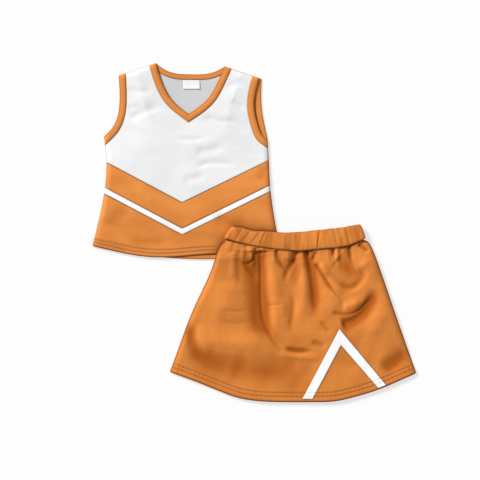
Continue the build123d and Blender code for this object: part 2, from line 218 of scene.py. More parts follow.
def roll(distance: Array, radius: float) -> Array:
    """A quarter round: 0 at a folded edge, rising like a circle to 1 at the radius."""
    return np.sqrt(1 - (1 - np.clip(distance / radius, 0.0, 1.0)) ** 2)


def nearest(places: Array, line: Array) -> tuple[Array, Array]:
    """How far plan places are from a line, and where along it they are nearest.

    Args:
        places: plan points, with x and y in the last axis.
        line: the line's points.

    Returns:
        The distance, positive on the line's left hand, and the share of the line's length.
    """
    flat = places.reshape(-1, 2)
    start, run = line[:-1], np.diff(line, axis=0)
    length = np.maximum(np.linalg.norm(run, axis=1), 1e-9)
    along = np.concatenate([[0.0], np.cumsum(length)])
    best = np.full(len(flat), np.inf)
    share = np.zeros(len(flat))
    hand = np.ones(len(flat))
    for block in range(0, len(run), 40):
        part = slice(block, block + 40)
        to = flat[:, None] - start[part]
        t = np.clip((to * run[part]).sum(2) / length[part] ** 2, 0.0, 1.0)
        off = to - t[..., None] * run[part]
        far = np.hypot(off[..., 0], off[..., 1])
        pick = far.argmin(1)
        row = np.arange(len(flat))
        turn = run[part][pick, 0] * to[row, pick, 1] - run[part][pick, 1] * to[row, pick, 0]
        closer = far[row, pick] < best
        best = np.where(closer, far[row, pick], best)
        reached = along[:-1][part][pick] + t[row, pick] * length[part][pick]
        share = np.where(closer, reached / along[-1], share)
        hand = np.where(closer, np.sign(turn) + (turn == 0), hand)
    shape = places.shape[:-1]
    return (best * hand).reshape(shape), share.reshape(shape)


def inside(places: Array, outline: Array) -> Array:
    """True where plan places are inside a closed outline, by counting the edges to their right."""
    x, y = places[..., 0].reshape(-1, 1), places[..., 1].reshape(-1, 1)
    x1, y1 = outline[:, 0], outline[:, 1]
    x2, y2 = np.roll(x1, -1), np.roll(y1, -1)
    spans = (y1 > y) != (y2 > y)
    rise = np.where(y2 == y1, 1e-12, y2 - y1)
    right = x < x1 + (y - y1) * (x2 - x1) / rise
    return ((spans & right).sum(1) % 2 == 1).reshape(places.shape[:-1])


def cloud(places: Array, size: float, seed: int, angle: float = 0.0, stretch: float = 1.0) -> Array:
    """A smooth random field between -1 and 1.

    Random values stand on a square lattice and are joined by smooth ramps. The lattice can be turned,
    and stretched along its own first direction.

    Args:
        places: plan points.
        size: the lattice's step in metres.
        seed: which random values to use.
        angle: the turn of the lattice in degrees.
        stretch: how many times longer its cells are than wide.

    Returns:
        The field at each place.
    """
    turn = np.radians(angle)
    u = (places[..., 0] * np.cos(turn) + places[..., 1] * np.sin(turn)) / (size * stretch)
    v = (places[..., 1] * np.cos(turn) - places[..., 0] * np.sin(turn)) / size
    table = np.random.default_rng(seed).uniform(-1.0, 1.0, (64, 64))
    i, j = np.floor(u).astype(int), np.floor(v).astype(int)
    a, b = smooth(u - i), smooth(v - j)
    low = table[i % 64, j % 64] * (1 - a) + table[(i + 1) % 64, j % 64] * a
    high = table[i % 64, (j + 1) % 64] * (1 - a) + table[(i + 1) % 64, (j + 1) % 64] * a
    return low * (1 - b) + high * b


@dataclass(frozen=True)
class Fold:
    """A ridge or a valley in lying cloth.

    Across its path the height is a bell, exp(-(d / width) squared), with its own width on each side.
    Along the path it fades in and out.

    Attributes:
        path: plan points in millimetres.
        height: its height in millimetres, below zero for a valley.
        width: its half width in millimetres.
        lean: how much wider it is on the path's left hand, from -0.8 to 0.8.
        fade_in: the share of the path over which it rises.
        fade_out: the share of the path over which it dies away.
    """

    path: tuple[Point, ...]
    height: float
    width: float
    lean: float = 0.0
    fade_in: float = 0.25
    fade_out: float = 0.35

    def at(self, places: Array) -> Array:
        """The fold's height in metres at plan places."""
        distance, share = nearest(places, curve(self.path, 40))
        width = self.width * MM * (1 + self.lean * np.sign(distance))
        bell = np.exp(-((distance / width) ** 2))
        return self.height * MM * bell * smooth(share / self.fade_in) * smooth((1 - share) / self.fade_out)


# Finishes


class Nodes:
    """A material's node tree, with short ways to add and join nodes."""

    def __init__(self, name: str) -> None:
        """Makes the material and finds its shader."""
        self.material = bpy.data.materials.new(name)
        self.material.use_nodes = True
        self.tree = self.material.node_tree
        self.shader = self.tree.nodes["Principled BSDF"]
        self.place = self.tree.nodes.new("ShaderNodeTexCoord").outputs["Object"]

    def add(self, kind: str, **values: object) -> bpy.types.Node:
        """Adds a node.

        Args:
            kind: the node's type, without "ShaderNode".
            values: sockets by name to set or to link, and node settings in lower case.

        Returns:
            The node.
        """
        node = self.tree.nodes.new("ShaderNode" + kind)
        settings = {key: value for key, value in values.items() if hasattr(node, key)}
        for key, value in settings.items():
            setattr(node, key, value)
        for key, value in values.items():
            if key not in settings:
                self.put(node.inputs[key.replace("_", " ")], value)
        return node

    def put(self, socket: bpy.types.NodeSocket, value: object) -> None:
        """Links a socket's value, or sets it when it is a number or a colour."""
        if isinstance(value, bpy.types.NodeSocket):
            self.tree.links.new(value, socket)
        else:
            socket.default_value = value

    def dress(self, **values: object) -> bpy.types.Material:
        """Sets or links the shader's own sockets, by name, and returns the material."""
        for key, value in values.items():
            self.put(self.shader.inputs[key.replace("_", " ")], value)
        return self.material

    def maths(self, operation: str, first: object, second: object = 0.0) -> bpy.types.NodeSocket:
        """One sum, of two sockets or numbers."""
        node = self.add("Math", operation=operation)
        self.put(node.inputs[0], first)
        self.put(node.inputs[1], second)
        return node.outputs[0]

    def mixed(self, share: object, low: object, high: object) -> bpy.types.NodeSocket:
        """A colour between two colours or sockets."""
        node = self.add("Mix", data_type="RGBA")
        for socket, value in ((0, share), (6, low), (7, high)):
            self.put(node.inputs[socket], value)
        return node.outputs[2]

    def read(self, name: str) -> bpy.types.NodeSocket:
        """The value of one of the mesh's own attributes."""
        return self.add("Attribute", attribute_name=name).outputs["Fac"]

    def stretched(self, scale: tuple[float, float, float]) -> bpy.types.NodeSocket:
        """Object coordinates, multiplied along each axis."""
        return self.add("Mapping", Vector=self.place, Scale=scale).outputs[0]


def shade(colour: tuple[float, float, float], by: float) -> tuple[float, float, float, float]:
    """A colour made lighter or darker by a factor, with full alpha."""
    return (*(min(1.0, c * by) for c in colour), 1.0)


@dataclass(frozen=True)
class Knit:
    """Fine polyester knit with a soft satin gloss.

    Attributes:
        name: the material's name.
        slot: the record's material slot; not used.
        colour: its linear colour.
        mottle: how strongly the colour varies.
        gloss: its roughness.
        sheen: the strength of its fuzz.
        course: the spacing of its rows of loops in metres.
        relief: the depth of the loops in metres.
        shadow_colour: the linear colour of the shadow painted along its seams, edges and creases.
        painted_shade_tint: what its colour is multiplied by in the bottom of a fold, as painted shade.
    """

    name: str
    slot: str
    colour: tuple[float, float, float]
    mottle: float = 0.1
    gloss: float = 0.7
    sheen: float = 0.02
    course: float = 0.7 * MM
    relief: float = 0.05 * MM
    shadow_colour: tuple[float, float, float] = (0.17, 0.045, 0.008)
    painted_shade_tint: tuple[float, float, float] = (0.62, 0.46, 0.22)

    def made(self) -> bpy.types.Material:
        """Builds the material: loops in relief, streaks along the courses, painted shade and highlight on
        the folds, and painted shadow lines.
        """
        nodes = Nodes(self.name)
        rate = 2 * np.pi / self.course / 20
        course = nodes.add(
            "TexWave", Vector=nodes.place, Scale=rate, bands_direction="Y", Distortion=0.6, Detail=1.0
        )
        wale = nodes.add(
            "TexWave", Vector=nodes.place, Scale=rate * 1.3, bands_direction="X", Distortion=0.4, Detail=1.0
        )
        loops = nodes.maths("MULTIPLY", course.outputs["Fac"], wale.outputs["Fac"])
        streaks = nodes.add("TexNoise", Vector=nodes.stretched((9.0, 60.0, 30.0)), Scale=1.0, Detail=4.0)
        patches = nodes.add("TexNoise", Vector=nodes.place, Scale=16.0, Detail=3.0)
        fibre = nodes.add("TexNoise", Vector=nodes.place, Scale=1400.0, Detail=2.0)
        broad = nodes.maths("MULTIPLY", patches.outputs["Fac"], 0.45)
        both = nodes.maths("ADD", nodes.maths("MULTIPLY", streaks.outputs["Fac"], 0.55), broad)
        spread = nodes.add("MapRange", Value=both, From_Min=0.32, From_Max=0.68)
        colour = nodes.mixed(
            spread.outputs[0], shade(self.colour, 1 - self.mottle), shade(self.colour, 1 + self.mottle)
        )
        # Painted shade in the bottom of folds and painted highlight on ridges, read from the mesh's fold
        # attribute.
        fold_shading = nodes.read("fold_shading")
        painted_shade = tuple(c * d for c, d in zip(self.colour, self.painted_shade_tint))
        colour = nodes.mixed(nodes.maths("MAXIMUM", fold_shading, 0.0), colour, shade(painted_shade, 1.0))
        painted_highlight = nodes.maths("MULTIPLY", nodes.maths("MINIMUM", fold_shading, 0.0), -0.7)
        colour = nodes.mixed(painted_highlight, colour, shade(self.colour, 1.12))
        # Painted shadow along seams, edges, stitch rows and creases, read from the attribute named seam.
        seam = nodes.read("seam")
        colour = nodes.mixed(seam, colour, shade(self.shadow_colour, 1.0))
        rough = nodes.add(
            "MapRange", Value=fibre.outputs["Fac"], To_Min=self.gloss - 0.08, To_Max=self.gloss + 0.1
        )
        relief = nodes.maths("ADD", loops, nodes.maths("MULTIPLY", fibre.outputs["Fac"], 0.35))
        bump = nodes.add("Bump", Height=relief, Distance=self.relief, Strength=1.0)
        finish = {"Sheen_Weight": self.sheen, "Sheen_Roughness": 0.45, "Specular_IOR_Level": 0.07}
        return nodes.dress(
            Base_Color=colour, Roughness=rough.outputs[0], Normal=bump.outputs[0], **finish
        )


@dataclass(frozen=True)
class Thread:
    """Spun sewing thread, with its twist in relief."""

    name: str
    slot: str
    colour: tuple[float, float, float]

    def made(self) -> bpy.types.Material:
        """Builds the material: a fine slanting twist and a little unevenness."""
        nodes = Nodes(self.name)
        twist = nodes.add(
            "TexWave", Vector=nodes.place, Scale=900.0, bands_direction="DIAGONAL", Distortion=0.5
        )
        colour = nodes.mixed(twist.outputs["Fac"], shade(self.colour, 0.75), shade(self.colour, 1.12))
        bump = nodes.add("Bump", Height=twist.outputs["Fac"], Distance=0.05 * MM)
        return nodes.dress(Base_Color=colour, Normal=bump.outputs[0], Roughness=0.6, Sheen_Weight=0.2)


@dataclass(frozen=True)
class Woven:
    """Narrow woven goods, such as braid, elastic or a label: ribs across and a grain along."""

    name: str
    slot: str
    colour: tuple[float, float, float]
    rib: float = 0.9 * MM
    relief: float = 0.1 * MM
    gloss: float = 0.6

    def made(self) -> bpy.types.Material:
        """Builds the material: plain weave from two sets of waves, and painted shadow along its edges."""
        nodes = Nodes(self.name)
        rate = 2 * np.pi / self.rib / 20
        warp = nodes.add("TexWave", Vector=nodes.place, Scale=rate, bands_direction="X", Distortion=0.3)
        weft = nodes.add("TexWave", Vector=nodes.place, Scale=rate, bands_direction="Y", Distortion=0.3)
        weave = nodes.maths("MAXIMUM", warp.outputs["Fac"], weft.outputs["Fac"])
        grime = nodes.add("TexNoise", Vector=nodes.place, Scale=120.0, Detail=3.0)
        tone = nodes.maths("MULTIPLY", weave, grime.outputs["Fac"])
        colour = nodes.mixed(tone, shade(self.colour, 0.95), shade(self.colour, 1.03))
        # Painted shadow along the edges of braid and label, read from the attribute named seam.
        seam = nodes.read("seam")
        colour = nodes.mixed(seam, colour, shade(WHITE_SHADOW, 1.0))
        bump = nodes.add("Bump", Height=weave, Distance=self.relief, Strength=0.8)
        return nodes.dress(
            Base_Color=colour, Normal=bump.outputs[0], Roughness=self.gloss, Sheen_Weight=0.02
        )


ORANGE = (0.75, 0.262, 0.058)
WHITE = (0.80, 0.80, 0.805)
# Colours of painted shadow lines and of painted fold shade on white cloth.
WHITE_SHADOW = (0.34, 0.20, 0.11)
WHITE_SHADE_TINT = (0.91, 0.91, 0.92)
ORANGE_KNIT = Knit("orange_knit", "orange_knit", ORANGE)
SKIRT_KNIT = Knit("orange_skirt_knit", "orange_knit", (0.65, 0.214, 0.042))
ORANGE_BINDING = Knit("orange_binding", "orange_binding", shade(ORANGE, 0.95)[:3], mottle=0.08)
WHITE_KNIT = Knit("white_knit", "white_knit", WHITE, 0.015, shadow_colour=WHITE_SHADOW, painted_shade_tint=WHITE_SHADE_TINT)
WHITE_STRIPE = Knit(
    "white_stripe", "white_knit", (0.93, 0.93, 0.93), 0.01, shadow_colour=WHITE_SHADOW, painted_shade_tint=WHITE_SHADE_TINT
)
# The back yoke's white knit, made darker as painted shade for the inside seen through the neck.
WHITE_INSIDE_SHADED = Knit(
    "white_knit_inside_painted_shade", "white_knit", (0.60, 0.605, 0.62), 0.02, shadow_colour=WHITE_SHADOW, painted_shade_tint=WHITE_SHADE_TINT
)
WHITE_BRAID = Woven("white_braid", "white_braid", (0.99, 0.99, 0.99), relief=0.03 * MM)
LABEL_WEAVE = Woven("label_weave", "label_weave", (0.88, 0.88, 0.87), rib=0.5 * MM, relief=0.05 * MM)
ELASTIC = Woven("elastic", "elastic", (0.78, 0.78, 0.76), rib=1.4 * MM, relief=0.25 * MM)
ORANGE_THREAD = Thread("orange_thread", "orange_thread", shade(ORANGE, 0.62)[:3])
WHITE_THREAD = Thread("white_thread", "white_thread", (0.80, 0.80, 0.79))


class Wardrobe:
    """The finishes in use, each built once."""

    built: dict[str, bpy.types.Material] = {}

    @classmethod
    def get(cls, finish: Knit | Thread | Woven) -> bpy.types.Material:
        """The finish's material, built the first time that it is asked for."""
        if finish.name not in cls.built:
            cls.built[finish.name] = finish.made()
        return cls.built[finish.name]


# Meshes


def patch(bottom: Array, top: Array, left: Array, right: Array, across: Array, up: Array) -> Array:
    """A plan grid that fills four edge lines.

    It is a Coons patch: the ruled surface between bottom and top, plus the ruled surface between left
    and right, less the flat patch through the four corners.

    Args:
        bottom: the lower edge from left to right.
        top: the upper edge from left to right.
        left: the left edge from bottom to top.
        right: the right edge from bottom to top.
        across: the columns' shares of the way from left to right.
        up: the rows' shares of the way from bottom to top.

    Returns:
        Plan points in rows from bottom to top.
    """
    low, high = spaced(bottom, across)[None], spaced(top, across)[None]
    near, far = spaced(left, up)[:, None], spaced(right, up)[:, None]
    u, v = across[None, :, None], up[:, None, None]
    corners = (1 - u) * (1 - v) * bottom[0] + u * (1 - v) * bottom[-1]
    corners = corners + (1 - u) * v * top[0] + u * v * top[-1]
    return (1 - v) * low + v * high + (1 - u) * near + u * far - corners


def grid_faces(rows: int, columns: int, first: int) -> Array:
    """The four-sided faces of a grid of points whose first point has the index first."""
    r, c = np.meshgrid(np.arange(rows - 1), np.arange(columns - 1), indexing="ij")
    one = first + r * columns + c
    return np.stack([one, one + 1, one + columns + 1, one + columns], axis=-1).reshape(-1, 4)


def welded(grids: list[Array]) -> tuple[Array, list[list[int]]]:
    """The points and faces of grids made one mesh, with points that lie together made one."""
    firsts = np.cumsum([0, *(g.shape[0] * g.shape[1] for g in grids)])
    points = np.concatenate([g.reshape(-1, 3) for g in grids])
    faces = np.concatenate([grid_faces(*g.shape[:2], f) for g, f in zip(grids, firsts)])
    _, keep, index = np.unique(np.round(points / 1e-6), axis=0, return_index=True, return_inverse=True)
    faces = index.reshape(-1)[faces]
    repeats = faces == np.roll(faces, -1, axis=1)
    count = repeats.sum(1)
    pinched = faces[count == 1][~repeats[count == 1]].reshape(-1, 3)
    return points[keep], faces[count == 0].tolist() + pinched.tolist()


@dataclass(frozen=True)
class Shadow:
    """A plan line along which shadow is painted into the cloth's colour, as in a stitched crease or under an
    edge.

    Attributes:
        line: the line's points.
        width: how far the darkness reaches in metres.
        depth: how dark the line itself is, from 0 to 1.
    """

    line: Array
    width: float = 0.9 * MM
    depth: float = 0.6

    def at(self, places: Array) -> Array:
        """The painted shadow's darkness at plan places: a bell across the line."""
        distance = nearest(places, even(self.line, 100))[0]
        return self.depth * np.exp(-((distance / self.width) ** 2))


@dataclass(frozen=True)
class Cut:
    """How a sheet of cloth was cut and how it is held.

    Attributes:
        width: the cut's width in metres.
        length: its length in metres.
        held: how the sheet is held now.
        rests_on: the pieces that it lies on or is sewn to.
        area: its flat area where it isn't a rectangle.
    """

    width: float
    length: float
    held: str
    rests_on: tuple[str, ...] = ()
    area: float | None = None


@dataclass
class Piece:
    """One finished piece: its mesh, its finish, what it rides on and what it stands for.

    Attributes:
        name: the piece's name.
        grids: its surface as grids of points, with their outer face where the rows turn left to.
        finish: what it is made of.
        body: the body that it rides on.
        replaces: the plain solids that it stands for.
        thickness: how far the cloth goes in from its outer face.
        shadows: the lines along which shadow is painted into its colour.
        fold_shading: painted shade and highlight: how far each place lies in a fold, from -1 on a ridge to 1
            in a valley.
        cut: how it was cut, if it is a sheet of cloth; not used.
    """

    name: str
    grids: list[Array]
    finish: Knit | Thread | Woven
    body: Body
    replaces: tuple[str, ...] = ()
    thickness: float = CLOTH
    shadows: tuple[Shadow, ...] = ()
    fold_shading: Callable[[Array], Array] | None = None
    cut: Cut | None = None

    def made(self) -> bpy.types.Object:
        """Builds the object, gives it thickness, dresses it and sets it riding.

        Returns:
            The object.
        """
        points, faces = welded(self.grids)
        mesh = bpy.data.meshes.new(self.name)
        mesh.from_pydata(points.tolist(), [], faces)
        mesh.polygons.foreach_set("use_smooth", np.ones(len(mesh.polygons), bool))
        # Two attributes for the material: painted shadow along the shadow lines, under the name seam, and
        # painted shade and highlight by how far each place lies in a fold.
        dark = np.zeros(len(points))
        for shadow in self.shadows:
            dark = np.maximum(dark, shadow.at(points[:, :2]))
        painted_shade = np.clip(self.fold_shading(points[:, :2]), -1, 1) if self.fold_shading else np.zeros(len(points))
        for name, values in (("seam", dark), ("fold_shading", painted_shade)):
            layer = mesh.attributes.new(name, "FLOAT", "POINT")
            layer.data.foreach_set("value", values.astype(np.float32))
        mesh.materials.append(Wardrobe.get(self.finish))
        thing = bpy.data.objects.new(self.name, mesh)
        bpy.context.scene.collection.objects.link(thing)
        if self.thickness:
            solid = thing.modifiers.new("thickness", "SOLIDIFY")
            solid.thickness = self.thickness
            solid.offset = -1.0
            solid.use_even_offset = False
        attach(thing, self.body.value)
        if self.replaces:
            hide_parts(*self.replaces)
        log.info("%s: %d points, %d faces", self.name, len(points), len(faces))
        return thing


def plan_area(grids: list[Array]) -> float:
    """The area of grids seen from above, by the cross product of each cell's diagonals."""
    total = 0.0
    for grid in grids:
        one = grid[1:, 1:, :2] - grid[:-1, :-1, :2]
        other = grid[1:, :-1, :2] - grid[:-1, 1:, :2]
        total += np.abs(one[..., 0] * other[..., 1] - one[..., 1] * other[..., 0]).sum() / 2
    return float(total)


def length_of(line: Array) -> float:
    """The length of a line of points."""
    return float(np.linalg.norm(np.diff(line, axis=0), axis=1).sum())


def panel_cut(grids: list[Array], held: str, rests_on: tuple[str, ...], fullness: float = 1.0) -> Cut:
    """The cut of a panel, from its grids seen from above.

    Args:
        grids: the panel's grids.
        held: how it is held.
        rests_on: what it lies on.
        fullness: how many times wider it was cut than it now lies.

    Returns:
        The cut, with its flat area.
    """
    flat = np.concatenate([g.reshape(-1, g.shape[-1])[:, :2] for g in grids])
    width, length = np.ptp(flat, axis=0)
    return Cut(float(width) * fullness, float(length), held, rests_on, plan_area(grids) * fullness)


def strip_cut(line: Array, width: float, held: str, rests_on: tuple[str, ...]) -> Cut:
    """The cut of a straight strip that is sewn along a line."""
    return Cut(width, length_of(line), held, rests_on)


@dataclass(frozen=True)
class Edge:
    """A plan edge of cloth, with the hand that the cloth is on and the mitres at its ends.

    Attributes:
        line: the edge's points.
        left_hand: whether the cloth is on the line's left hand.
        start_mitre: how much later a line inside the cloth starts, per unit of its distance in.
        end_mitre: how much sooner it ends.
    """

    line: Array
    left_hand: bool
    start_mitre: float = 0.0
    end_mitre: float = 0.0

    def plan(self, distances: Array, rows: int) -> Array:
        """Points at several distances in from the edge.

        Each column runs along the edge at one distance: a point is the edge's point at its own share
        of the way, plus the unit vector across the edge there times the distance.

        Args:
            distances: how far in each column is, below zero outside the cloth.
            rows: the number of points along the edge.

        Returns:
            Plan points, a row for each step along the edge.
        """
        reach = 0.05
        run = np.gradient(self.line, axis=0)
        run /= np.linalg.norm(run, axis=1, keepdims=True)
        first, last = self.line[0] - run[0] * reach, self.line[-1] + run[-1] * reach
        line = np.concatenate([[first], self.line, [last]])
        run = np.concatenate([run[:1], run, run[-1:]])
        along = lengths(line) - reach
        begin = self.start_mitre * distances
        finish = along[-2] - self.end_mitre * distances
        at = begin + (finish - begin) * np.linspace(0.0, 1.0, rows)[:, None]
        place = np.stack([np.interp(at, along, line[:, k]) for k in range(2)], axis=-1)
        way = np.stack([np.interp(at, along, run[:, k]) for k in range(2)], axis=-1)
        way /= np.linalg.norm(way, axis=-1, keepdims=True)
        hand = 1.0 if self.left_hand else -1.0
        across = np.stack([-way[..., 1], way[..., 0]], axis=-1) * hand
        return place + across * distances[:, None]

    def swept(self, profile: Array, rows: int, height: Height, outward: float) -> Array:
        """A profile carried along the edge.

        Args:
            profile: rows of (distance in, height above the outer face).
            rows: the number of points along the edge.
            height: the height function of the cloth's outer face.
            outward: 1 where the outer face looks up, and -1 where it looks down.

        Returns:
            A grid of points whose outer side faces out.
        """
        plan = self.plan(profile[:, 0], rows)
        lift = height(plan) + profile[:, 1] * outward
        grid = np.concatenate([plan, lift[..., None]], axis=2)
        return grid if self.left_hand == (outward > 0) else grid[:, ::-1]


def trim(line: Array, left_hand: bool, seam: Array) -> float:
    """How much later a strip starts per unit of distance in, when its end is cut along a seam.

    It is the seam's share along the edge divided by its share across the edge.

    Args:
        line: the edge, from the end that is cut.
        left_hand: whether the cloth is on its left hand.
        seam: the seam, from the same end.

    Returns:
        The mitre for that end.
    """
    along = line[6] - line[0]
    along = along / np.linalg.norm(along)
    across = np.array([-along[1], along[0]]) * (1.0 if left_hand else -1.0)
    way = seam[6] - seam[0]
    return float(way @ along / (way @ across))


def binding_profile(width: float, wall: float, swell: float) -> Array:
    """The cross-section of a binding: over the edge of the cloth and back under it.

    Two flanges are joined by a half circle round the cloth's edge. The outer flange swells between
    its own edge and the fold, as a sine.

    Args:
        width: how far each flange reaches in from the edge.
        wall: how far the binding's outer face stands off the cloth.
        swell: how far the middle of the outer flange stands out beyond that.

    Returns:
        Rows of (distance in, height above the outer face).
    """
    radius = CLOTH / 2 + wall
    angle = np.linspace(np.pi / 2, -np.pi / 2, 7)
    bend = np.stack([0.3 * MM - radius * np.cos(angle), radius * np.sin(angle) - CLOTH / 2], axis=1)
    flange = np.linspace(width, 0.3 * MM, 8)[:-1]
    upper = np.stack([flange, wall + swell * np.sin(np.pi * (width - flange) / width)], axis=1)
    tucked = np.array([[width + 0.25 * MM, 0.05 * MM]])
    lower = np.stack([flange[::-1], np.full(7, -CLOTH - wall)], axis=1)
    return np.concatenate([tucked, upper, bend, lower])


def hem_profile(depth: float) -> Array:
    """The cross-section of a hem: the cloth turns round its edge and goes up inside.

    Args:
        depth: how far the hem is turned up.

    Returns:
        Rows of (distance in, height above the outer face).
    """
    angle = np.linspace(np.pi / 2, -np.pi / 2, 8)
    bend = np.stack([-CLOTH * np.cos(angle), CLOTH * (np.sin(angle) - 1)], axis=1)
    run = np.linspace(0.5 * MM, depth, 7)
    inner = np.stack([run, np.full(7, -2 * CLOTH) - 0.05 * MM], axis=1)
    return np.concatenate([bend, inner])


def allowance_profile(width: float, gap: float) -> Array:
    """The cross-section of overlocked seam allowances: two layers that lie together inside the seam.

    Args:
        width: how far they reach in from the seam.
        gap: the space between the middles of the two layers.

    Returns:
        Rows of (distance in, height above the seam's middle).
    """
    angle = np.linspace(np.pi / 2, -np.pi / 2, 6)
    run = np.linspace(CLOTH, width, 5)
    bend = np.stack([width + gap / 2 * np.cos(angle), gap / 2 * np.sin(angle)], axis=1)
    upper = np.stack([run, np.full(5, gap / 2)], axis=1)[:-1]
    lower = np.stack([run[::-1], np.full(5, -gap / 2)], axis=1)[1:]
    return np.concatenate([upper, bend, lower])


@dataclass(frozen=True)
class Stitch:
    """The size of a sewing stitch in metres: its length, the space to the next, and its thickness."""

    long: float
    gap: float = 0.6 * MM
    thick: float = 0.38 * MM


SHELL_HEM_STITCH = Stitch(2.3 * MM)
SKIRT_HEM_STITCH = Stitch(2.4 * MM)
WAIST_STITCH = Stitch(2.4 * MM, 0.7 * MM, 0.36 * MM)
LABEL_STITCH = Stitch(1.7 * MM, 0.5 * MM, 0.3 * MM)


def stitches(path: Array, size: Stitch) -> list[Array]:
    """A row of sewing stitches along a path.

    Each stitch is a short thread, round in section, that arches up from the cloth: its height over its
    ends is the thread's thickness times one less the square of the place along it.

    Args:
        path: the points of the row on the cloth, in three dimensions.
        size: the size of a stitch.

    Returns:
        One grid of points for each stitch.
    """
    thick = size.thick
    count = max(2, int(length_of(path) / (size.long + size.gap)))
    line = even(path, 4 * count + 1)
    middle = line[2::4]
    run = line[3::4] - line[1::4]
    run /= np.linalg.norm(run, axis=1, keepdims=True)
    side = np.cross(np.array([0.0, 0.0, 1.0]), run)
    side /= np.linalg.norm(side, axis=1, keepdims=True)
    rise = np.cross(run, side)
    t = np.linspace(-1.0, 1.0, 6)
    ring = np.linspace(0.0, 2 * np.pi, 7)
    swell = 0.5 * thick * np.sqrt(np.maximum(1 - t**4, 0.0)) + 1e-5
    a = (0.5 * size.long * t)[:, None] * np.ones(7)
    b = swell[:, None] * np.cos(ring)
    c = swell[:, None] * np.sin(ring) + (thick * 0.7 * (1 - t**2))[:, None]
    grids = middle[:, None, None] + a[..., None] * run[:, None, None]
    grids = grids + b[..., None] * side[:, None, None] + c[..., None] * rise[:, None, None]
    return list(grids[:, :, ::-1])


class Garment:
    """What both garments share: two layers of cloth, hems, rows of thread and seam allowances.

    A garment says how high the outer face of each layer lies, and how high the middle of its seams.
    """

    body: Body
    back_cloth: str
    knit: Knit
    hem_depth: float
    seam_width: float

    def front(self, places: Array) -> Array:
        """The height of the front's outer face."""
        raise NotImplementedError

    def back(self, places: Array) -> Array:
        """The height of the back's outer face."""
        raise NotImplementedError

    def seam_level(self, places: Array) -> Array:
        """The height midway between the two layers inside a seam."""
        raise NotImplementedError

    def lay(self, layer: Layer) -> Height:
        """The height function of a layer's outer face."""
        return self.front if layer is Layer.FRONT else self.back

    def laid(self, plan: Array, layer: Layer, lift: Array | float = 0.0) -> Array:
        """Plan points given their height on a layer, and a lift above it."""
        return np.concatenate([plan, (self.lay(layer)(plan) + lift)[..., None]], axis=-1)

    def solid(self, plans: list[Array], layer: Layer) -> list[Array]:
        """Plan grids laid at a layer's height, with their outer faces turned out."""
        grids = [self.laid(plan, layer) for plan in plans]
        return grids if layer is Layer.FRONT else [grid[:, ::-1] for grid in grids]

    def sewn(self, name: str, stitched: list[Array], finish: Thread) -> Piece:
        """The stitches that stand for one thread."""
        return Piece(f"{name}_thread", stitched, finish, self.body, (name,), 0.0)

    def turned_up(self, name: str, layer: Layer, line: Array, rows: int, panel: str, long: Array,
                  shadows: tuple[Shadow, ...] = ()) -> Piece:
        """A hem's cloth that is turned up inside.

        Args:
            name: the name of what it stands for.
            layer: the layer that it belongs to.
            line: the hem's edge.
            rows: the number of points along it.
            panel: the panel that it is folded from.
            long: the line whose length the cut has.
            shadows: its dark lines.

        Returns:
            The piece.
        """
        grid = Edge(line, True).swept(hem_profile(self.hem_depth), rows, self.lay(layer), layer.sign)
        cut = strip_cut(long, self.hem_depth + 2 * MM, "folded", (panel,))
        return Piece(f"{name}_cloth", [grid], self.knit, self.body, (name,), FOLDED_CLOTH, shadows, cut=cut)

    def allowance(self, name: str, edge: Edge, rows: int, finish: Knit) -> Piece:
        """Overlocked seam allowances inside a seam, with the overlock's small waves."""

        def level(places: Array) -> Array:
            """The waving middle height between the two layers."""
            return self.seam_level(places) + 0.12 * MM * np.sin(places[..., 1] * 2 * np.pi / (4 * MM))

        grid = edge.swept(allowance_profile(self.seam_width, 0.8 * MM)[::-1], rows, level, 1.0)
        cut = strip_cut(edge.line, 2 * self.seam_width, "folded", (self.back_cloth,))
        return Piece(f"{name}_cloth", [grid], finish, self.body, (name,), SEAM_CLOTH, cut=cut)


# The shell

SHELL_FOLDS = (
    Fold(((-217, 244), (-187, 239), (-169, 242)), -0.9, 6),
    Fold(((-217, 189), (-194, 201), (-169, 210), (-150, 211)), -1.3, 8, 0.3),
    Fold(((-217, 212), (-187, 214)), -0.7, 5),
    Fold(((-91, 198), (-57, 189), (-23, 187)), -1.1, 6, 0.2),
    Fold(((-132, 159), (-96, 158), (-78, 162)), -0.8, 4),
    Fold(((-103, 139), (-68, 141), (-46, 151)), -1.3, 8),
    Fold(((-103, 109), (-78, 116), (-50, 116), (-27, 113)), -1.1, 5, 0.3),
    Fold(((-123, 87), (-96, 93), (-78, 98)), -1.0, 7),
    Fold(((-55, 241), (-34, 251), (-14, 253)), -0.9, 7),
    Fold(((-40, 225), (-24, 215), (-12, 214)), -0.8, 6),
    Fold(((-248, 6), (-239, 21), (-221, 37), (-205, 44)), -1.3, 13),
    Fold(((8, 84), (14, 98), (22, 114)), -1.2, 9),
    Fold(((-215, -12), (-170, -18), (-140, -14)), -0.8, 8),
    Fold(((-70, 28), (-35, 18), (-6, 22)), -1.2, 12),
    Fold(((-200, 80), (-180, 62), (-168, 44)), 0.7, 9),
)


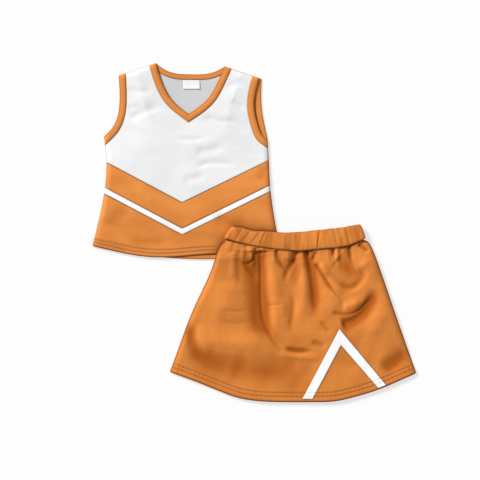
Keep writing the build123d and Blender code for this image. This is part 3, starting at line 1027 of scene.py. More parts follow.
@dataclass
class Shell(Garment):
    """The sleeveless top: chevron panels, bindings, hem and label, lying face up.

    The plan points are in millimetres and the sizes in metres.
    """

    body = Body.SHELL
    back_cloth = "shell_back_yoke_cloth"
    knit = ORANGE_KNIT
    neck_left: Point = (-167.5, 287.1)
    neck_right: Point = (-49.5, 281.5)
    neck_point: Point = (-111.5, 200.3)
    neck_scoop: tuple[Point, ...] = ((-153.5, 276.5), (-133, 269.3), (-109, 267.8), (-85, 268.2), (-65, 273))
    neck_on_left: tuple[Point, ...] = ((-143.7, 228.8), (-155.6, 250.2))
    neck_on_right: tuple[Point, ...] = ((-75.5, 230), (-64.5, 248.5))
    shoulder_left: Point = (-229.5, 266.5)
    shoulder_right: Point = (12, 260.5)
    front_shoulder_right: Point = (8.2, 262)
    armhole_left: tuple[Point, ...] = ((-239.5, 178.5), (-231.9, 195.5), (-228, 228.8))
    armhole_right: tuple[Point, ...] = ((18, 177), (13.4, 200.3), (11, 230))
    front_armhole_right: tuple[Point, ...] = ((13.4, 164.1), (5.4, 182.4), (-0.3, 207.4), (0.9, 234.7))
    underarm_left: Point = (-255, 161.5)
    underarm_right: Point = (22.5, 156.5)
    side_left: tuple[Point, ...] = ((-254.5, 70), (-251, 119))
    side_right: tuple[Point, ...] = ((28, 69), (24.5, 121))
    hem_left: Point = (-274.9, -22.8)
    hem_right: Point = (45.5, -34.5)
    hem_middle: Point = (-113, -44.5)
    front_hem: tuple[Point, ...] = (
        (-237.5, -31.5), (-203, -38.3), (-165, -41.9), (-130, -40.8), (-93, -37.6), (-60, -36), (0, -35.2),
    )
    chevron_x: tuple[float, float, float] = (-280, -122, 60)
    chevron_tops: tuple[tuple[float, float, float], ...] = (
        (134.3, 50, 139),
        (90, 6.4, 96.2),
        (78.9, -4.5, 85.1),
    )
    seam_height: float = 2.0 * MM
    under: float = 0.65 * MM
    edge_loft: float = 4.7 * MM
    body_loft: float = 7.6 * MM
    binding_width: float = 11 * MM
    back_neck_width: float = 8.5 * MM
    binding_wall: float = 0.55 * MM
    binding_cloth: float = 0.45 * MM
    binding_fullness: float = 2.2
    hem_depth: float = 14.5 * MM
    seam_width: float = 6 * MM
    rows_at: tuple[float, float] = (6.5 * MM, 12.5 * MM)
    under_skirt: Array | None = None

    def __post_init__(self) -> None:
        """Works out the outline's curves."""
        self.left_side = curve([self.hem_left, *self.side_left, self.underarm_left])
        self.right_side = curve([self.hem_right, *self.side_right, self.underarm_right])
        self.left_armhole = curve([self.underarm_left, *self.armhole_left, self.shoulder_left])
        right_front = [self.underarm_right, *self.front_armhole_right, self.front_shoulder_right]
        right_back = [self.underarm_right, *self.armhole_right, self.shoulder_right]
        self.right_armhole = {Layer.FRONT: curve(right_front), Layer.BACK: curve(right_back)}
        self.left_shoulder = straight([self.shoulder_left, self.neck_left])
        self.right_shoulder = {
            Layer.FRONT: straight([self.neck_right, self.front_shoulder_right]),
            Layer.BACK: straight([self.neck_right, self.shoulder_right]),
        }
        self.left_neck = curve([self.neck_point, *self.neck_on_left, self.neck_left])
        self.right_neck = curve([self.neck_point, *self.neck_on_right, self.neck_right])
        self.back_neck = curve([self.neck_left, *self.neck_scoop, self.neck_right])
        self.hem = {
            Layer.FRONT: curve([self.hem_left, *self.front_hem, self.hem_right]),
            Layer.BACK: arc([self.hem_left, self.hem_middle, self.hem_right]),
        }
        self.closed = [self.left_side, self.right_side, self.left_shoulder, self.right_shoulder[Layer.FRONT]]
        sides = [self.right_side[::-1], self.hem[Layer.BACK][::-1], self.left_side, self.left_armhole]
        self.outline = np.concatenate([*sides, self.left_shoulder, self.back_neck])
        top = [self.right_shoulder[Layer.BACK], self.right_armhole[Layer.BACK][::-1]]
        self.outline = np.concatenate([self.outline, *top])
        left, middle, right = self.chevron_x
        self.chevrons = [straight([(left, a), (middle, b), (right, c)]) for a, b, c in self.chevron_tops]

    def closed_distance(self, places: Array) -> Array:
        """How far places are from the nearest side or shoulder seam."""
        lines = [even(line, 40) for line in self.closed]
        return np.min([np.abs(nearest(places, line)[0]) for line in lines], axis=0)

    def pressed(self, places: Array) -> Array:
        """How strongly the skirt weighs on the shell, from 0 outside its outline to 1 well within."""
        if self.under_skirt is None:
            return np.zeros(places.shape[:-1])
        closed = np.concatenate([self.under_skirt, self.under_skirt[:1]])
        distance = np.abs(nearest(places, even(closed, 120))[0])
        within = inside(places, self.under_skirt)
        return smooth(np.where(within, distance, -distance) / (24 * MM) + 0.5)

    @staticmethod
    def relief(places: Array) -> Array:
        """The front's wrinkles: the listed folds, and three sizes of random ripple."""
        total = sum(fold.at(places) for fold in SHELL_FOLDS)
        total = total + 0.8 * MM * cloud(places, 46 * MM, 3, 12, 1.8)
        total = total + 0.42 * MM * cloud(places, 17 * MM, 4, -25, 2.0)
        return total + 0.07 * MM * cloud(places, 6 * MM, 5, 8, 1.6)

    def fold_shading(self, places: Array) -> Array:
        """How far a place lies in a fold, for painted shade in valleys and painted highlight on ridges."""
        return -self.relief(places) / (3.0 * MM)

    def front(self, places: Array) -> Array:
        """The height of the front's outer face.

        It rises from the height at its open edges to its full loft over 70 mm, carries the wrinkles,
        and rolls down like a quarter circle to the side and shoulder seams.
        """
        open_edges = [self.hem[Layer.FRONT], self.left_armhole, self.right_armhole[Layer.FRONT]]
        open_edges += [self.left_neck, self.right_neck]
        to_open = np.min([np.abs(nearest(places, even(line, 40))[0]) for line in open_edges], axis=0)
        loft = self.edge_loft + (self.body_loft - self.edge_loft) * smooth(to_open / (70 * MM))
        relief = self.relief(places) * (0.35 + 0.65 * smooth(to_open / (30 * MM)))
        top = (loft + relief) * (1 - 0.2 * self.pressed(places))
        for line in self.chevrons:
            top = top - 0.35 * MM * np.exp(-((nearest(places, even(line, 60))[0] / (1.1 * MM)) ** 2))
        for depth in self.rows_at:
            away = np.abs(nearest(places, even(self.hem[Layer.FRONT], 60))[0]) - depth
            top = top - 0.3 * MM * np.exp(-((away / (1.0 * MM)) ** 2))
        rise = roll(self.closed_distance(places), 10 * MM)
        return self.seam_height + (top - self.seam_height) * rise

    def back(self, places: Array) -> Array:
        """The height of the back's outer face, which lies on the floor and curls up to its seams."""
        ripple = 0.35 * MM * (1 + cloud(places, 38 * MM, 11, 30, 1.7))
        ripple = ripple + 0.18 * MM * (1 + cloud(places, 15 * MM, 12, -20, 1.8))
        settled = self.under + ripple * smooth(self.closed_distance(places) / (15 * MM))
        return self.seam_height - (self.seam_height - settled) * roll(self.closed_distance(places), 4 * MM)

    def inner(self, places: Array) -> Array:
        """The height of the back's inner face."""
        return self.back(places) + CLOTH

    def seam_level(self, places: Array) -> Array:
        """The height midway between the two layers inside a seam."""
        return self.seam_height + 0.35 * MM

    def half_panels(self, side: Side, layer: Layer) -> dict[str, Array]:
        """The plan grids of one half of a layer, from its hem to its shoulder.

        Args:
            side: which half.
            layer: the front or the back.

        Returns:
            The grids by panel name.
        """
        left = side is Side.LEFT
        end = self.chevron_x[0] if left else self.chevron_x[2]
        middle = self.chevron_x[1]
        seam = self.left_side if left else self.right_side
        armhole = self.left_armhole if left else self.right_armhole[layer]
        shoulder = self.left_shoulder if left else self.right_shoulder[layer][::-1]
        neck = self.left_neck if left else self.right_neck
        halfway = (0.0, 0.5) if left else (1.0, 0.5)
        if layer is Layer.BACK:
            neck = part_of(self.back_neck, *halfway, 200)[::-1]
        ends = [tops[0] if left else tops[2] for tops in self.chevron_tops]
        marks = [crossing(seam, (end, y), (middle, tops[1])) for y, tops in zip(ends, self.chevron_tops)]
        lows = [part_of(self.hem[layer], *halfway, 200)]
        for mark, tops in zip(marks[::-1], self.chevron_tops[::-1]):
            start = spaced(seam, [mark])[0] / MM
            lows.append(straight([tuple(start), (middle, tops[1])]))
        columns = np.linspace(0.0, 1.0, 84) ** 1.25
        stops = [0.0, *marks[::-1]]
        grids = {}
        for index, (name, rows) in enumerate((("hem_panel", 38), ("stripe", 7), ("band", 24))):
            low, high = lows[index : index + 2]
            outer = part_of(seam, *stops[index : index + 2], 200)
            inner = even(np.stack([low[-1], high[-1]]), 200)
            grids[name] = patch(low, high, outer, inner, columns, np.linspace(0.0, 1.0, rows))
        outer = joined(part_of(seam, stops[3], 1.0, 200), armhole)
        middle_line = even(np.stack([lows[3][-1], neck[0]]), 200)
        inner = joined(middle_line, neck)
        mark = length_of(middle_line) / length_of(inner)
        rows = (70, 50) if layer is Layer.FRONT else (96, 30)
        up = np.concatenate([np.linspace(0.0, mark, rows[0]), np.linspace(mark, 1.0, rows[1])[1:]])
        grids["yoke"] = patch(lows[3], shoulder, outer, inner, columns, up)
        return grids if left else {name: grid[:, ::-1] for name, grid in grids.items()}

    def panels(self, layer: Layer) -> list[Piece]:
        """The four panels of a layer."""
        halves = [self.half_panels(side, layer) for side in Side]
        finishes = {
            "yoke": WHITE_KNIT if layer is Layer.FRONT else WHITE_INSIDE_SHADED,
            "band": ORANGE_KNIT,
            "stripe": WHITE_STRIPE,
            "hem_panel": ORANGE_KNIT,
        }
        shadows = self.shadows(layer)
        fold_shading = self.fold_shading if layer is Layer.FRONT else None
        pieces = []
        for name, finish in finishes.items():
            plans = [half[name] for half in halves]
            rests = (f"shell_back_{name}_cloth",) if layer is Layer.FRONT else ()
            cut = panel_cut(plans, "laid", rests)
            if name == "stripe":
                run = length_of(plans[0][0]) + length_of(plans[1][0])
                cut = Cut(max(cut.area / run, NARROWEST), run, "laid", rests)
            node = f"shell_{layer.value}_{name}"
            grids = self.solid(plans, layer)
            pieces.append(
                Piece(f"{node}_cloth", grids, finish, self.body, (node,), CLOTH, shadows, fold_shading, cut)
            )
        return pieces

    def edges(self, layer: Layer) -> dict[str, Edge]:
        """The bound edges of a layer, by the name of their binding, cut along the seams they end at."""
        left, right = self.left_armhole, self.right_armhole[layer]
        shoulder = self.left_shoulder, self.right_shoulder[layer][::-1]
        sides = self.left_side[::-1], self.right_side[::-1]
        arms = [
            Edge(line, hand, trim(line, hand, side), trim(line[::-1], not hand, top))
            for line, hand, side, top in zip((left, right), (False, True), sides, shoulder)
        ]
        if layer is Layer.BACK:
            neck = self.back_neck
            start = trim(neck, False, self.left_shoulder[::-1])
            finish = trim(neck[::-1], True, self.right_shoulder[layer])
            return {
                "neck_binding_back": Edge(neck, False, start, finish),
                "armhole_binding_left_back": arms[0],
                "armhole_binding_right_back": arms[1],
            }
        meet = self.mitre(self.left_neck, self.right_neck)
        tops = self.left_shoulder[::-1], self.right_shoulder[layer]
        ends = [
            trim(line[::-1], not hand, top)
            for line, hand, top in zip((self.left_neck, self.right_neck), (True, False), tops)
        ]
        return {
            "neck_binding_front_left": Edge(self.left_neck, True, meet, ends[0]),
            "neck_binding_front_right": Edge(self.right_neck, False, meet, ends[1]),
            "armhole_binding_left_front": arms[0],
            "armhole_binding_right_front": arms[1],
        }

    @staticmethod
    def mitre(one: Array, other: Array) -> float:
        """How much longer a binding grows per unit of width where two meet at the neck's point.

        It is minus the cotangent of half the angle between the two edges.
        """
        a, b = one[4] - one[0], other[4] - other[0]
        cosine = a @ b / (np.linalg.norm(a) * np.linalg.norm(b))
        return float(-1 / np.tan(np.arccos(cosine) / 2))

    def width_of(self, binding: str) -> float:
        """How far a binding reaches in from its edge."""
        return self.back_neck_width if binding == "neck_binding_back" else self.binding_width

    def shadows(self, layer: Layer) -> tuple[Shadow, ...]:
        """The painted shadows on a layer: along its seams and edges, beside the bindings, and round the
        skirt.
        """
        lines = [Shadow(line, 0.95 * MM, 0.9) for line in self.chevrons]
        lines += [Shadow(line, 1.4 * MM, 0.8) for line in (*self.closed, self.hem[layer])]
        hem = Edge(self.hem[layer], True)
        lines += [Shadow(hem.plan(np.array([d]), 80)[:, 0], 1.3 * MM, 0.5) for d in self.rows_at]
        for name, edge in self.edges(layer).items():
            beside = edge.plan(np.array([self.width_of(name) + 0.3 * MM]), 80)[:, 0]
            lines.append(Shadow(beside, 0.8 * MM, 0.6))
        # Painted shadow cast by the skirt on the shell: a narrow dark core on the front, and a wide soft
        # spread that the back gets as well.
        if layer is Layer.FRONT:
            lines.append(Shadow(self.under_skirt, 3.5 * MM, 0.95))
        return (*lines, Shadow(self.under_skirt, 11 * MM, 0.45))

    def bindings(self, layer: Layer) -> list[Piece]:
        """The folded bindings of a layer."""
        swell = 0.8 * MM if layer is Layer.FRONT else 0.0
        cloth = f"shell_{layer.value}_yoke_cloth"
        pieces = []
        for name, edge in self.edges(layer).items():
            line = edge.line
            width = self.width_of(name)
            profile = binding_profile(width, self.binding_wall, swell)
            rows = max(30, int(length_of(line) / (1.6 * MM)))
            grid = edge.swept(profile, rows, self.lay(layer), layer.sign)
            inner_edge = edge.plan(np.array([width]), 80)[:, 0]
            # Painted shade along the binding's two edges.
            shadows = (Shadow(inner_edge, 1.3 * MM, 0.55), Shadow(line, 1.3 * MM, 0.55))
            cut = strip_cut(line, self.binding_fullness * width, "folded", (cloth,))
            dressed = ORANGE_BINDING, self.body, (name,), self.binding_cloth, shadows
            pieces.append(Piece(f"{name}_strip", [grid], *dressed, cut=cut))
        return pieces

    def hems(self, layer: Layer) -> list[Piece]:
        """A layer's turned-up hem and the two rows of thread that hold it."""
        node = f"shell_{layer.value}_hem"
        line = self.hem[layer]
        short = part_of(line, 0.006, 0.994, 200)
        threads = []
        for depth in self.rows_at:
            row = Edge(short, True).plan(np.array([depth]), 400)[:, 0]
            threads += stitches(self.laid(row, layer, layer.sign * THREAD_LIFT), SHELL_HEM_STITCH)
        # Painted shadow under the front's hem edge and along this hem's own edge.
        shadows = (Shadow(self.hem[Layer.FRONT], 2.2 * MM, 0.8), Shadow(line, 0.9 * MM, 0.6))
        return [
            self.turned_up(f"{node}_turnup", layer, short, 190, f"{node}_panel_cloth", line, shadows),
            self.sewn(f"{node}_stitching", threads, ORANGE_THREAD),
        ]

    def allowances(self) -> list[Piece]:
        """The overlocked seam allowances inside the sides and the shoulders."""
        lines = {
            "side_seam_left": (self.left_side, False, ORANGE_KNIT),
            "side_seam_right": (self.right_side, True, ORANGE_KNIT),
            "shoulder_seam_left": (self.left_shoulder, False, WHITE_KNIT),
            "shoulder_seam_right": (self.right_shoulder[Layer.FRONT], False, WHITE_KNIT),
        }
        pieces = []
        for name, (line, left_hand, finish) in lines.items():
            short = Edge(part_of(line, 0.06, 0.94, 200), left_hand)
            pieces.append(self.allowance(name, short, int(length_of(short.line) / (2 * MM)), finish))
        return pieces

    def label(self) -> list[Piece]:
        """The blank woven label inside the back neck, and the thread along its top."""
        low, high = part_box("neck_label")
        x = np.linspace(low[0], high[0], 29)
        y = np.linspace(low[1], high[1], 17)
        plan = np.stack(np.meshgrid(x, y), axis=-1)
        down = (high[1] - plan[..., 1]) / (high[1] - low[1])
        corner = np.abs(plan[..., 0] - (low[0] + high[0]) / 2) / (high[0] - low[0])
        lift = self.inner(plan) + 0.5 * MM + (0.5 * down**2 + 1.2 * down * corner**3) * MM
        along = np.linspace(low[0] + 0.8 * MM, high[0] - 0.8 * MM, 60)
        sewn = np.stack([along, np.full(60, high[1] - MM)], axis=1)
        path = np.concatenate([sewn, (self.inner(sewn) + 0.55 * MM)[:, None]], axis=1)
        edge = straight([(low[0] / MM, low[1] / MM), (high[0] / MM, low[1] / MM)], 20)
        grid = np.concatenate([plan, lift[..., None]], axis=2)
        # Painted shadow along the label's lower edge.
        shadows = (Shadow(edge, 0.5 * MM, 0.4),)
        cut = Cut(high[0] - low[0], high[1] - low[1], "laid", (self.back_cloth,))
        name = "neck_label"
        return [
            Piece(f"{name}_weave", [grid], LABEL_WEAVE, Body.LABEL, (name,), 0.35 * MM, shadows, cut=cut),
            Piece(
                f"{name}_thread", stitches(path, LABEL_STITCH), WHITE_THREAD, self.body,
                (f"{name}_stitching",), 0.0,
            ),
        ]

    def pieces(self) -> list[Piece]:
        """Every piece of the shell."""
        made = []
        for layer in (Layer.BACK, Layer.FRONT):
            made += self.panels(layer) + self.bindings(layer) + self.hems(layer)
        return made + self.allowances() + self.label()


# The skirt

SKIRT_FOLDS = (
    Fold(((9, -30), (10, -67), (10.5, -120), (14, -146), (28, -179), (43, -200)), -3.6, 18, -0.15, 0.02),
    Fold(((9, -30), (10, -67), (10.5, -120), (14, -146), (28, -179), (43, -200)), -1.8, 3, 0.3, 0.02),
    Fold(((30, -34), (33, -75), (36, -125), (44, -165), (60, -185)), 1.8, 11, 0.0, 0.1),
    Fold(((1, -27), (-2.5, -46), (-11, -53), (-19, -54)), -1.5, 2.6, 0.2, 0.02),
    Fold(((-22, -46), (-12, -58), (0, -72), (8, -84)), -1.6, 5, 0.0, 0.2),
    Fold(((-16, -22), (-14, -38), (-20, -50)), -1.2, 4, 0.0, 0.02),
    Fold(((-6, -24), (-5, -40), (-3, -60)), 1.2, 3.5, 0.0, 0.02),
    Fold(((36, -31), (42, -50), (55, -68)), -2.0, 4.5, 0.3, 0.02),
    Fold(((72, -33), (66, -50), (55, -68), (54, -90)), -1.9, 4.5, -0.2, 0.02),
    Fold(((57, -33), (56, -48)), 1.4, 6, 0.0, 0.02),
    Fold(((88, -28), (92.5, -48), (97, -66), (101, -90), (103, -122), (99, -156)), -3.6, 8, 0.0, 0.01),
    Fold(((87, -28), (91, -42), (94, -56), (97, -72)), -2.2, 2.4, 0.0, 0.01, 0.5),
    Fold(((93, -28), (96, -44), (101, -56)), 1.6, 2.6, 0.0, 0.01, 0.5),
    Fold(((80, -60), (84, -95), (80, -130), (76, -160)), 1.6, 9),
    Fold(((104, -34), (101, -42), (97, -50)), -1.6, 3.0, 0.0, 0.02),
    Fold(((103, -52), (118, -75), (131, -95), (144, -112)), -2.0, 3.2, -0.3, 0.1, 0.3),
    Fold(((112, -50), (128, -74), (142, -92), (156, -104)), 1.8, 6, 0.0, 0.15),
    Fold(((128, -100), (140, -112), (150, -122)), 1.2, 4),
    Fold(((118, -66), (134, -82), (150, -92), (166, -94), (180, -82), (194, -62)), -1.9, 6, 0.2, 0.15),
    Fold(((134, -28), (134, -46)), -2.2, 3.2, 0.0, 0.02, 0.6),
    Fold(((147, -26), (148, -41)), -1.1, 2.2, 0.0, 0.02, 0.6),
    Fold(((160, -23), (162, -40), (165, -55)), -2.6, 3.6, 0.0, 0.02, 0.6),
    Fold(((140, -26), (141, -48), (146, -64)), 1.3, 3.6, 0.0, 0.02, 0.6),
    Fold(((176, -20), (186, -27), (194, -36)), -1.8, 4.5, 0.0, 0.1),
    Fold(((138, -44), (158, -60), (176, -68), (190, -60)), -2.0, 14, 0.0, 0.1, 0.2),
    Fold(((120, -92), (132, -118), (140, -140)), 1.3, 10),
    Fold(((68, -44), (72, -70), (76, -96)), -1.2, 9, 0.0, 0.05),
    Fold(((170, -66), (184, -56), (196, -44)), 1.3, 7),
    Fold(((131, -136), (150, -139), (168, -137), (184, -125), (196, -112)), -1.2, 2.6, 0.3, 0.1, 0.2),
    Fold(((148, -126), (164, -124), (180, -112)), 1.6, 7),
    Fold(((146, -158), (166, -151), (184, -137), (198, -115), (208, -92)), -3.6, 10.5, -0.1, 0.1, 0.3),
    Fold(((196, -178), (210, -150), (222, -122)), 1.4, 12),
    Fold(((50, -196), (74, -201), (98, -199)), -1.9, 4.6),
    Fold(((34, -206), (60, -210), (90, -212), (116, -215)), 1.2, 6.5, 0.3, 0.2, 0.25),
    Fold(((96, -186), (110, -190), (122, -196)), -1.6, 5),
    Fold(((214, -236), (232, -224), (248, -212), (262, -196)), -2.6, 12),
    Fold(((-108, -150), (-106, -180), (-98, -206), (-76, -226)), -2.4, 11, 0.1),
    Fold(((-88, -150), (-84, -185), (-70, -205)), 1.0, 10),
    Fold(((-90, -168), (-52, -186), (-10, -188), (24, -196)), 2.2, 17, 0.0, 0.2, 0.3),
    Fold(((-112, -196), (-64, -220), (0, -232), (50, -233), (92, -222)), -2.3, 25, 0.0, 0.2, 0.3),
    Fold(((-46, -80), (-50, -120), (-52, -150)), 2.0, 26),
    Fold(((-38, -34), (-36, -60), (-40, -84)), 1.2, 7, 0.0, 0.05),
    Fold(((-27, -30), (-26, -60), (-28, -100)), -0.9, 5, 0.0, 0.05),
    Fold(((-60, -130), (-36, -134), (-6, -132)), -0.5, 3),
    Fold(((-64, -150), (-30, -154), (0, -150)), -0.5, 4),
    Fold(((60, -100), (66, -126), (62, -160), (66, -178)), -1.0, 4),
    Fold(((48, -110), (50, -140), (56, -170)), 1.1, 7),
    Fold(((110, -150), (120, -160), (130, -172)), -1.0, 4),
    Fold(((20, -122), (40, -122), (56, -118)), -0.5, 2.2),
)


# Painted shadow along the skirt's deeper creases: path in millimetres, width in millimetres, and darkness.
SKIRT_CREASE_SHADOWS = (
    (((87, -29), (91, -44), (95, -64)), 2.4, 0.6),
    (((104, -32), (100, -40), (96, -46)), 1.8, 0.5),
    (((9, -30), (10, -67), (10.5, -120), (13, -144)), 1.7, 0.42),
    (((13, -144), (28, -179), (42, -199)), 2.2, 0.25),
    (((1, -27), (-2.5, -46), (-11, -53)), 1.2, 0.5),
    (((36, -31), (44, -52), (55, -68), (66, -50), (72, -33)), 1.8, 0.25),
    (((134, -29), (134, -45)), 2.2, 0.4),
    (((160, -24), (163, -52)), 2.4, 0.42),
    (((176, -21), (190, -30)), 2.4, 0.4),
    (((104, -54), (118, -75), (131, -95), (143, -111)), 1.2, 0.4),
    (((133, -138), (150, -140), (168, -137), (184, -125), (194, -114)), 1.2, 0.4),
    (((58, -198), (76, -202), (94, -200)), 2.2, 0.45),
    (((20, -122), (40, -122), (56, -118)), 0.9, 0.3),
)


@dataclass(frozen=True)
class Crease:
    """A gather line across the waistband.

    Attributes:
        at: its share of the way from the left end.
        slant: how much further along it is at the band's top.
        depth: its depth in metres.
        width: its half width in metres.
    """

    at: float
    slant: float
    depth: float
    width: float

    def shape(self, share: Array, up: Array, long: float) -> Array:
        """The crease's depth over the band, as a bell across its slanting line."""
        away = (share - self.at - self.slant * (up - 0.5)) * long
        return self.depth * np.exp(-((away / self.width) ** 2))


BAND_CREASES = (
    Crease(0.062, 0.004, 1.0 * MM, 1.2 * MM),
    Crease(0.12, 0.03, 0.45 * MM, 2.6 * MM),
    Crease(0.19, 0.035, 0.5 * MM, 2.6 * MM),
    Crease(0.243, 0.012, 1.25 * MM, 1.2 * MM),
    Crease(0.43, 0.0, 0.35 * MM, 3.0 * MM),
    Crease(0.53, 0.01, 0.4 * MM, 2.0 * MM),
    Crease(0.60, 0.0, 0.35 * MM, 2.6 * MM),
    Crease(0.672, 0.03, 1.3 * MM, 1.3 * MM),
    Crease(0.80, -0.01, 0.6 * MM, 3.0 * MM),
    Crease(0.895, 0.01, 0.85 * MM, 3.6 * MM),
)


@dataclass
class Skirt(Garment):
    """The pull-on skirt: gathered panels, notch with braid, hem, casing and elastic, lying face up.

    The plan points are in millimetres and the sizes in metres.
    """

    body = Body.SKIRT
    back_cloth = "skirt_back_panel_cloth"
    knit = SKIRT_KNIT
    shell: Shell
    waist_top: tuple[Point, ...] = (
        (-32.8, 9.4), (-20.6, 8.5), (-9.2, 4.6), (15.3, 2.2), (46.2, 0.2),
        (80.4, 1.2), (112.9, 5.0), (134, 7), (153.5, 9.6), (174.6, 13.4),
    )
    waist_seam: tuple[Point, ...] = (
        (-46.6, -11.7), (-28.7, -16.7), (-4.3, -22.3), (21.8, -26.7), (51, -30.1),
        (77.7, -31.5), (106.4, -28.9), (129.2, -27.2), (161.7, -21.6), (184.5, -12.6),
    )
    left: tuple[Point, ...] = ((-46.6, -11.7), (-56, -20.5), (-63, -33.5), (-68.5, -50.5), (-104.2, -132),
                               (-134.8, -213.5), (-143.5, -236.6))
    right: tuple[Point, ...] = ((184.5, -12.6), (191.5, -15), (199.5, -26), (210.6, -54), (237.5, -132),
                                (266, -213.5), (274.9, -238.5))
    hem: tuple[Point, ...] = ((-143.5, -236.6), (-101.5, -252), (-60, -268.5), (-28, -280), (4.4, -285.5),
                              (46, -287.4), (104, -287.5), (140, -285.5), (163, -280.5), (207, -267.4),
                              (251, -249), (274.9, -238.5))
    notch_top: Point = (144.2, -163.2)
    notch_inner: Point = (147, -192)
    notch_left: tuple[Point, Point] = ((78.6, -288), (96.6, -288))
    notch_right: tuple[Point, Point] = ((223.5, -280), (241.5, -280))
    split_at: float = 0.63
    braid_width: float = 17.5 * MM
    braid_lift: float = 5 * MM
    hem_depth: float = 17 * MM
    seam_width: float = 6 * MM
    rows_at: tuple[float, float] = (9 * MM, 15.5 * MM)
    fold_scale: float = 1.45
    clearance: float = 0.7 * MM
    band_gap: float = 7.0 * MM
    band_thick: float = 5.4 * MM
    band_lap: float = 2.5 * MM
    elastic_width: float = 25 * MM
    elastic_thick: float = 1.5 * MM

    def __post_init__(self) -> None:
        """Works out the outline's curves and tells the shell what lies on it."""
        self.top_line = curve(self.waist_top)
        self.seam_line = curve(self.waist_seam)
        self.left_line = curve(self.left)
        self.right_line = curve(self.right)
        self.hem_line = curve(self.hem)
        sides = [self.seam_line, self.right_line, self.hem_line[::-1], self.left_line[::-1]]
        self.outline = np.concatenate(sides)
        band = [self.top_line, self.right_line, self.hem_line[::-1], self.left_line[::-1]]
        self.shell.under_skirt = np.concatenate(band)
        bottoms = [(np.array(a) + np.array(b)) / 2 for a, b in (self.notch_left, self.notch_right)]
        apex = (np.array(self.notch_top) + np.array(self.notch_inner)) / 2
        self.apex = apex * MM
        self.notch_lines = []
        for foot in bottoms:
            reach = straight([tuple(apex), tuple(apex + (foot - apex) * 1.2)])
            outside = np.nonzero(~inside(reach, self.outline))[0][0]
            self.notch_lines.append(even(reach[: outside + 1], 200)[::-1])

    def support(self, places: Array) -> Array:
        """The height of what the skirt lies on.

        Over the shell it is the shell's outer face, and no lower than the shell's edge. Beyond the
        shell the cloth comes down to the floor as the square of what is left of 34 mm.
        """
        edge = 5.4 * MM
        outline = np.concatenate([self.shell.outline, self.shell.outline[:1]])
        distance = np.abs(nearest(places, even(outline, 260))[0])
        within = inside(places, self.shell.outline)
        hanging = edge * (1 - np.clip(distance / (34 * MM), 0.0, 1.0)) ** 2
        return np.where(within, np.maximum(self.shell.front(places), edge), hanging)

    def depth(self, places: Array) -> Array:
        """How far below the waist seam a place is, in metres."""
        return np.maximum(-nearest(places, even(self.seam_line, 60))[0], 0.0)

    def side_distance(self, places: Array) -> Array:
        """How far places are from the nearer side seam."""
        lines = [even(self.left_line, 60), even(self.right_line, 60)]
        return np.min([np.abs(nearest(places, line)[0]) for line in lines], axis=0)

    def gathers(self, places: Array, seed: int) -> Array:
        """Small pleats that fan out from the waist seam and die away below it.

        The pleats are random ramps over the share of the way along the waist, and their height falls
        as exp(-depth / 28 mm).
        """
        distance, share = nearest(places, even(self.seam_line, 80))
        depth = np.abs(distance)
        table = np.random.default_rng(seed).uniform(-1.0, 1.0, 400)
        total = np.zeros(places.shape[:-1])
        for pitch, height in ((34, 0.9 * MM), (71, 0.5 * MM)):
            at = share * pitch
            whole = np.floor(at).astype(int)
            blend = smooth(at - whole)
            total += height * (table[whole] * (1 - blend) + table[whole + 1] * blend)
        return total * np.exp(-depth / (22 * MM))

    def relief(self, places: Array) -> Array:
        """The front's folds: those listed, three sizes of random ripple, and the gathers."""
        total = self.fold_scale * sum(fold.at(places) for fold in SKIRT_FOLDS)
        total = total + 1.0 * MM * cloud(places, 40 * MM, 31, 80, 1.5)
        total = total + 0.55 * MM * cloud(places, 16 * MM, 32, 72, 2.4)
        total = total + 0.13 * MM * cloud(places, 5 * MM, 33, 100, 1.8)
        distance, share = nearest(places, even(self.hem_line, 60))
        wave = np.sin(2 * np.pi * 58 * share + 2.5 * cloud(places, 30 * MM, 36))
        pucker = 0.3 * MM * wave * np.exp(-(((np.abs(distance) - 11 * MM) / (7 * MM)) ** 2))
        return total + pucker + self.gathers(places, 34)

    def fold_shading(self, places: Array) -> Array:
        """How far a place lies in a fold, plus a random variation, for painted shade in valleys and painted
        highlight on ridges.
        """
        return -self.relief(places) / (3.6 * MM) + 0.22 * cloud(places, 24 * MM, 35, 75, 2.4)

    def back(self, places: Array) -> Array:
        """The height of the back's outer face, which lies on the floor and on the shell."""
        rest = self.support(places) + self.clearance
        rest = rest + 1.4 * MM * np.exp(-self.depth(places) / (10 * MM))
        ripple = 0.4 * MM * (1 + cloud(places, 44 * MM, 21, 60, 1.8))
        to_side = self.side_distance(places)
        settled = rest + ripple * smooth(to_side / (15 * MM))
        return rest + 1.6 * MM - (1.6 * MM + rest - settled) * roll(to_side, 4 * MM)

    def front(self, places: Array) -> Array:
        """The height of the front's outer face.

        It stands off the back by a loft that falls from the waist to the hem, carries the folds and
        the gathers, and rolls down like a quarter circle to the side seams.
        """
        rest = self.support(places) + self.clearance
        depth = self.depth(places)
        to_hem = np.abs(nearest(places, even(self.hem_line, 60))[0])
        to_side = self.side_distance(places)
        loft = 8.2 * MM + 1.2 * MM * smooth(depth / (40 * MM))
        loft = 5.2 * MM + (loft - 5.2 * MM) * smooth(to_hem / (120 * MM))
        relief = self.relief(places) * (0.3 + 0.7 * smooth(to_hem / (26 * MM)))
        top = loft + relief
        top = 2.6 * MM + np.logaddexp(0.0, (top - 2.6 * MM) / (1.2 * MM)) * 1.2 * MM
        for row in self.rows_at:
            top = top - 0.35 * MM * np.exp(-(((to_hem - row) / (1.0 * MM)) ** 2))
        rise = roll(to_side, 12 * MM)
        return rest + 1.6 * MM + (top - 1.6 * MM) * rise

    def seam_level(self, places: Array) -> Array:
        """The height midway between the two layers inside a seam."""
        return self.support(places) + self.clearance + 1.9 * MM

    def waist(self, start: float, stop: float) -> Array:
        """A share of the panels' top edge, which goes a little way up inside the casing."""
        rise = (self.top_line - self.seam_line) / np.linalg.norm(
            self.top_line - self.seam_line, axis=1, keepdims=True
        )
        return part_of(self.seam_line + rise * self.band_lap, start, stop, 200)

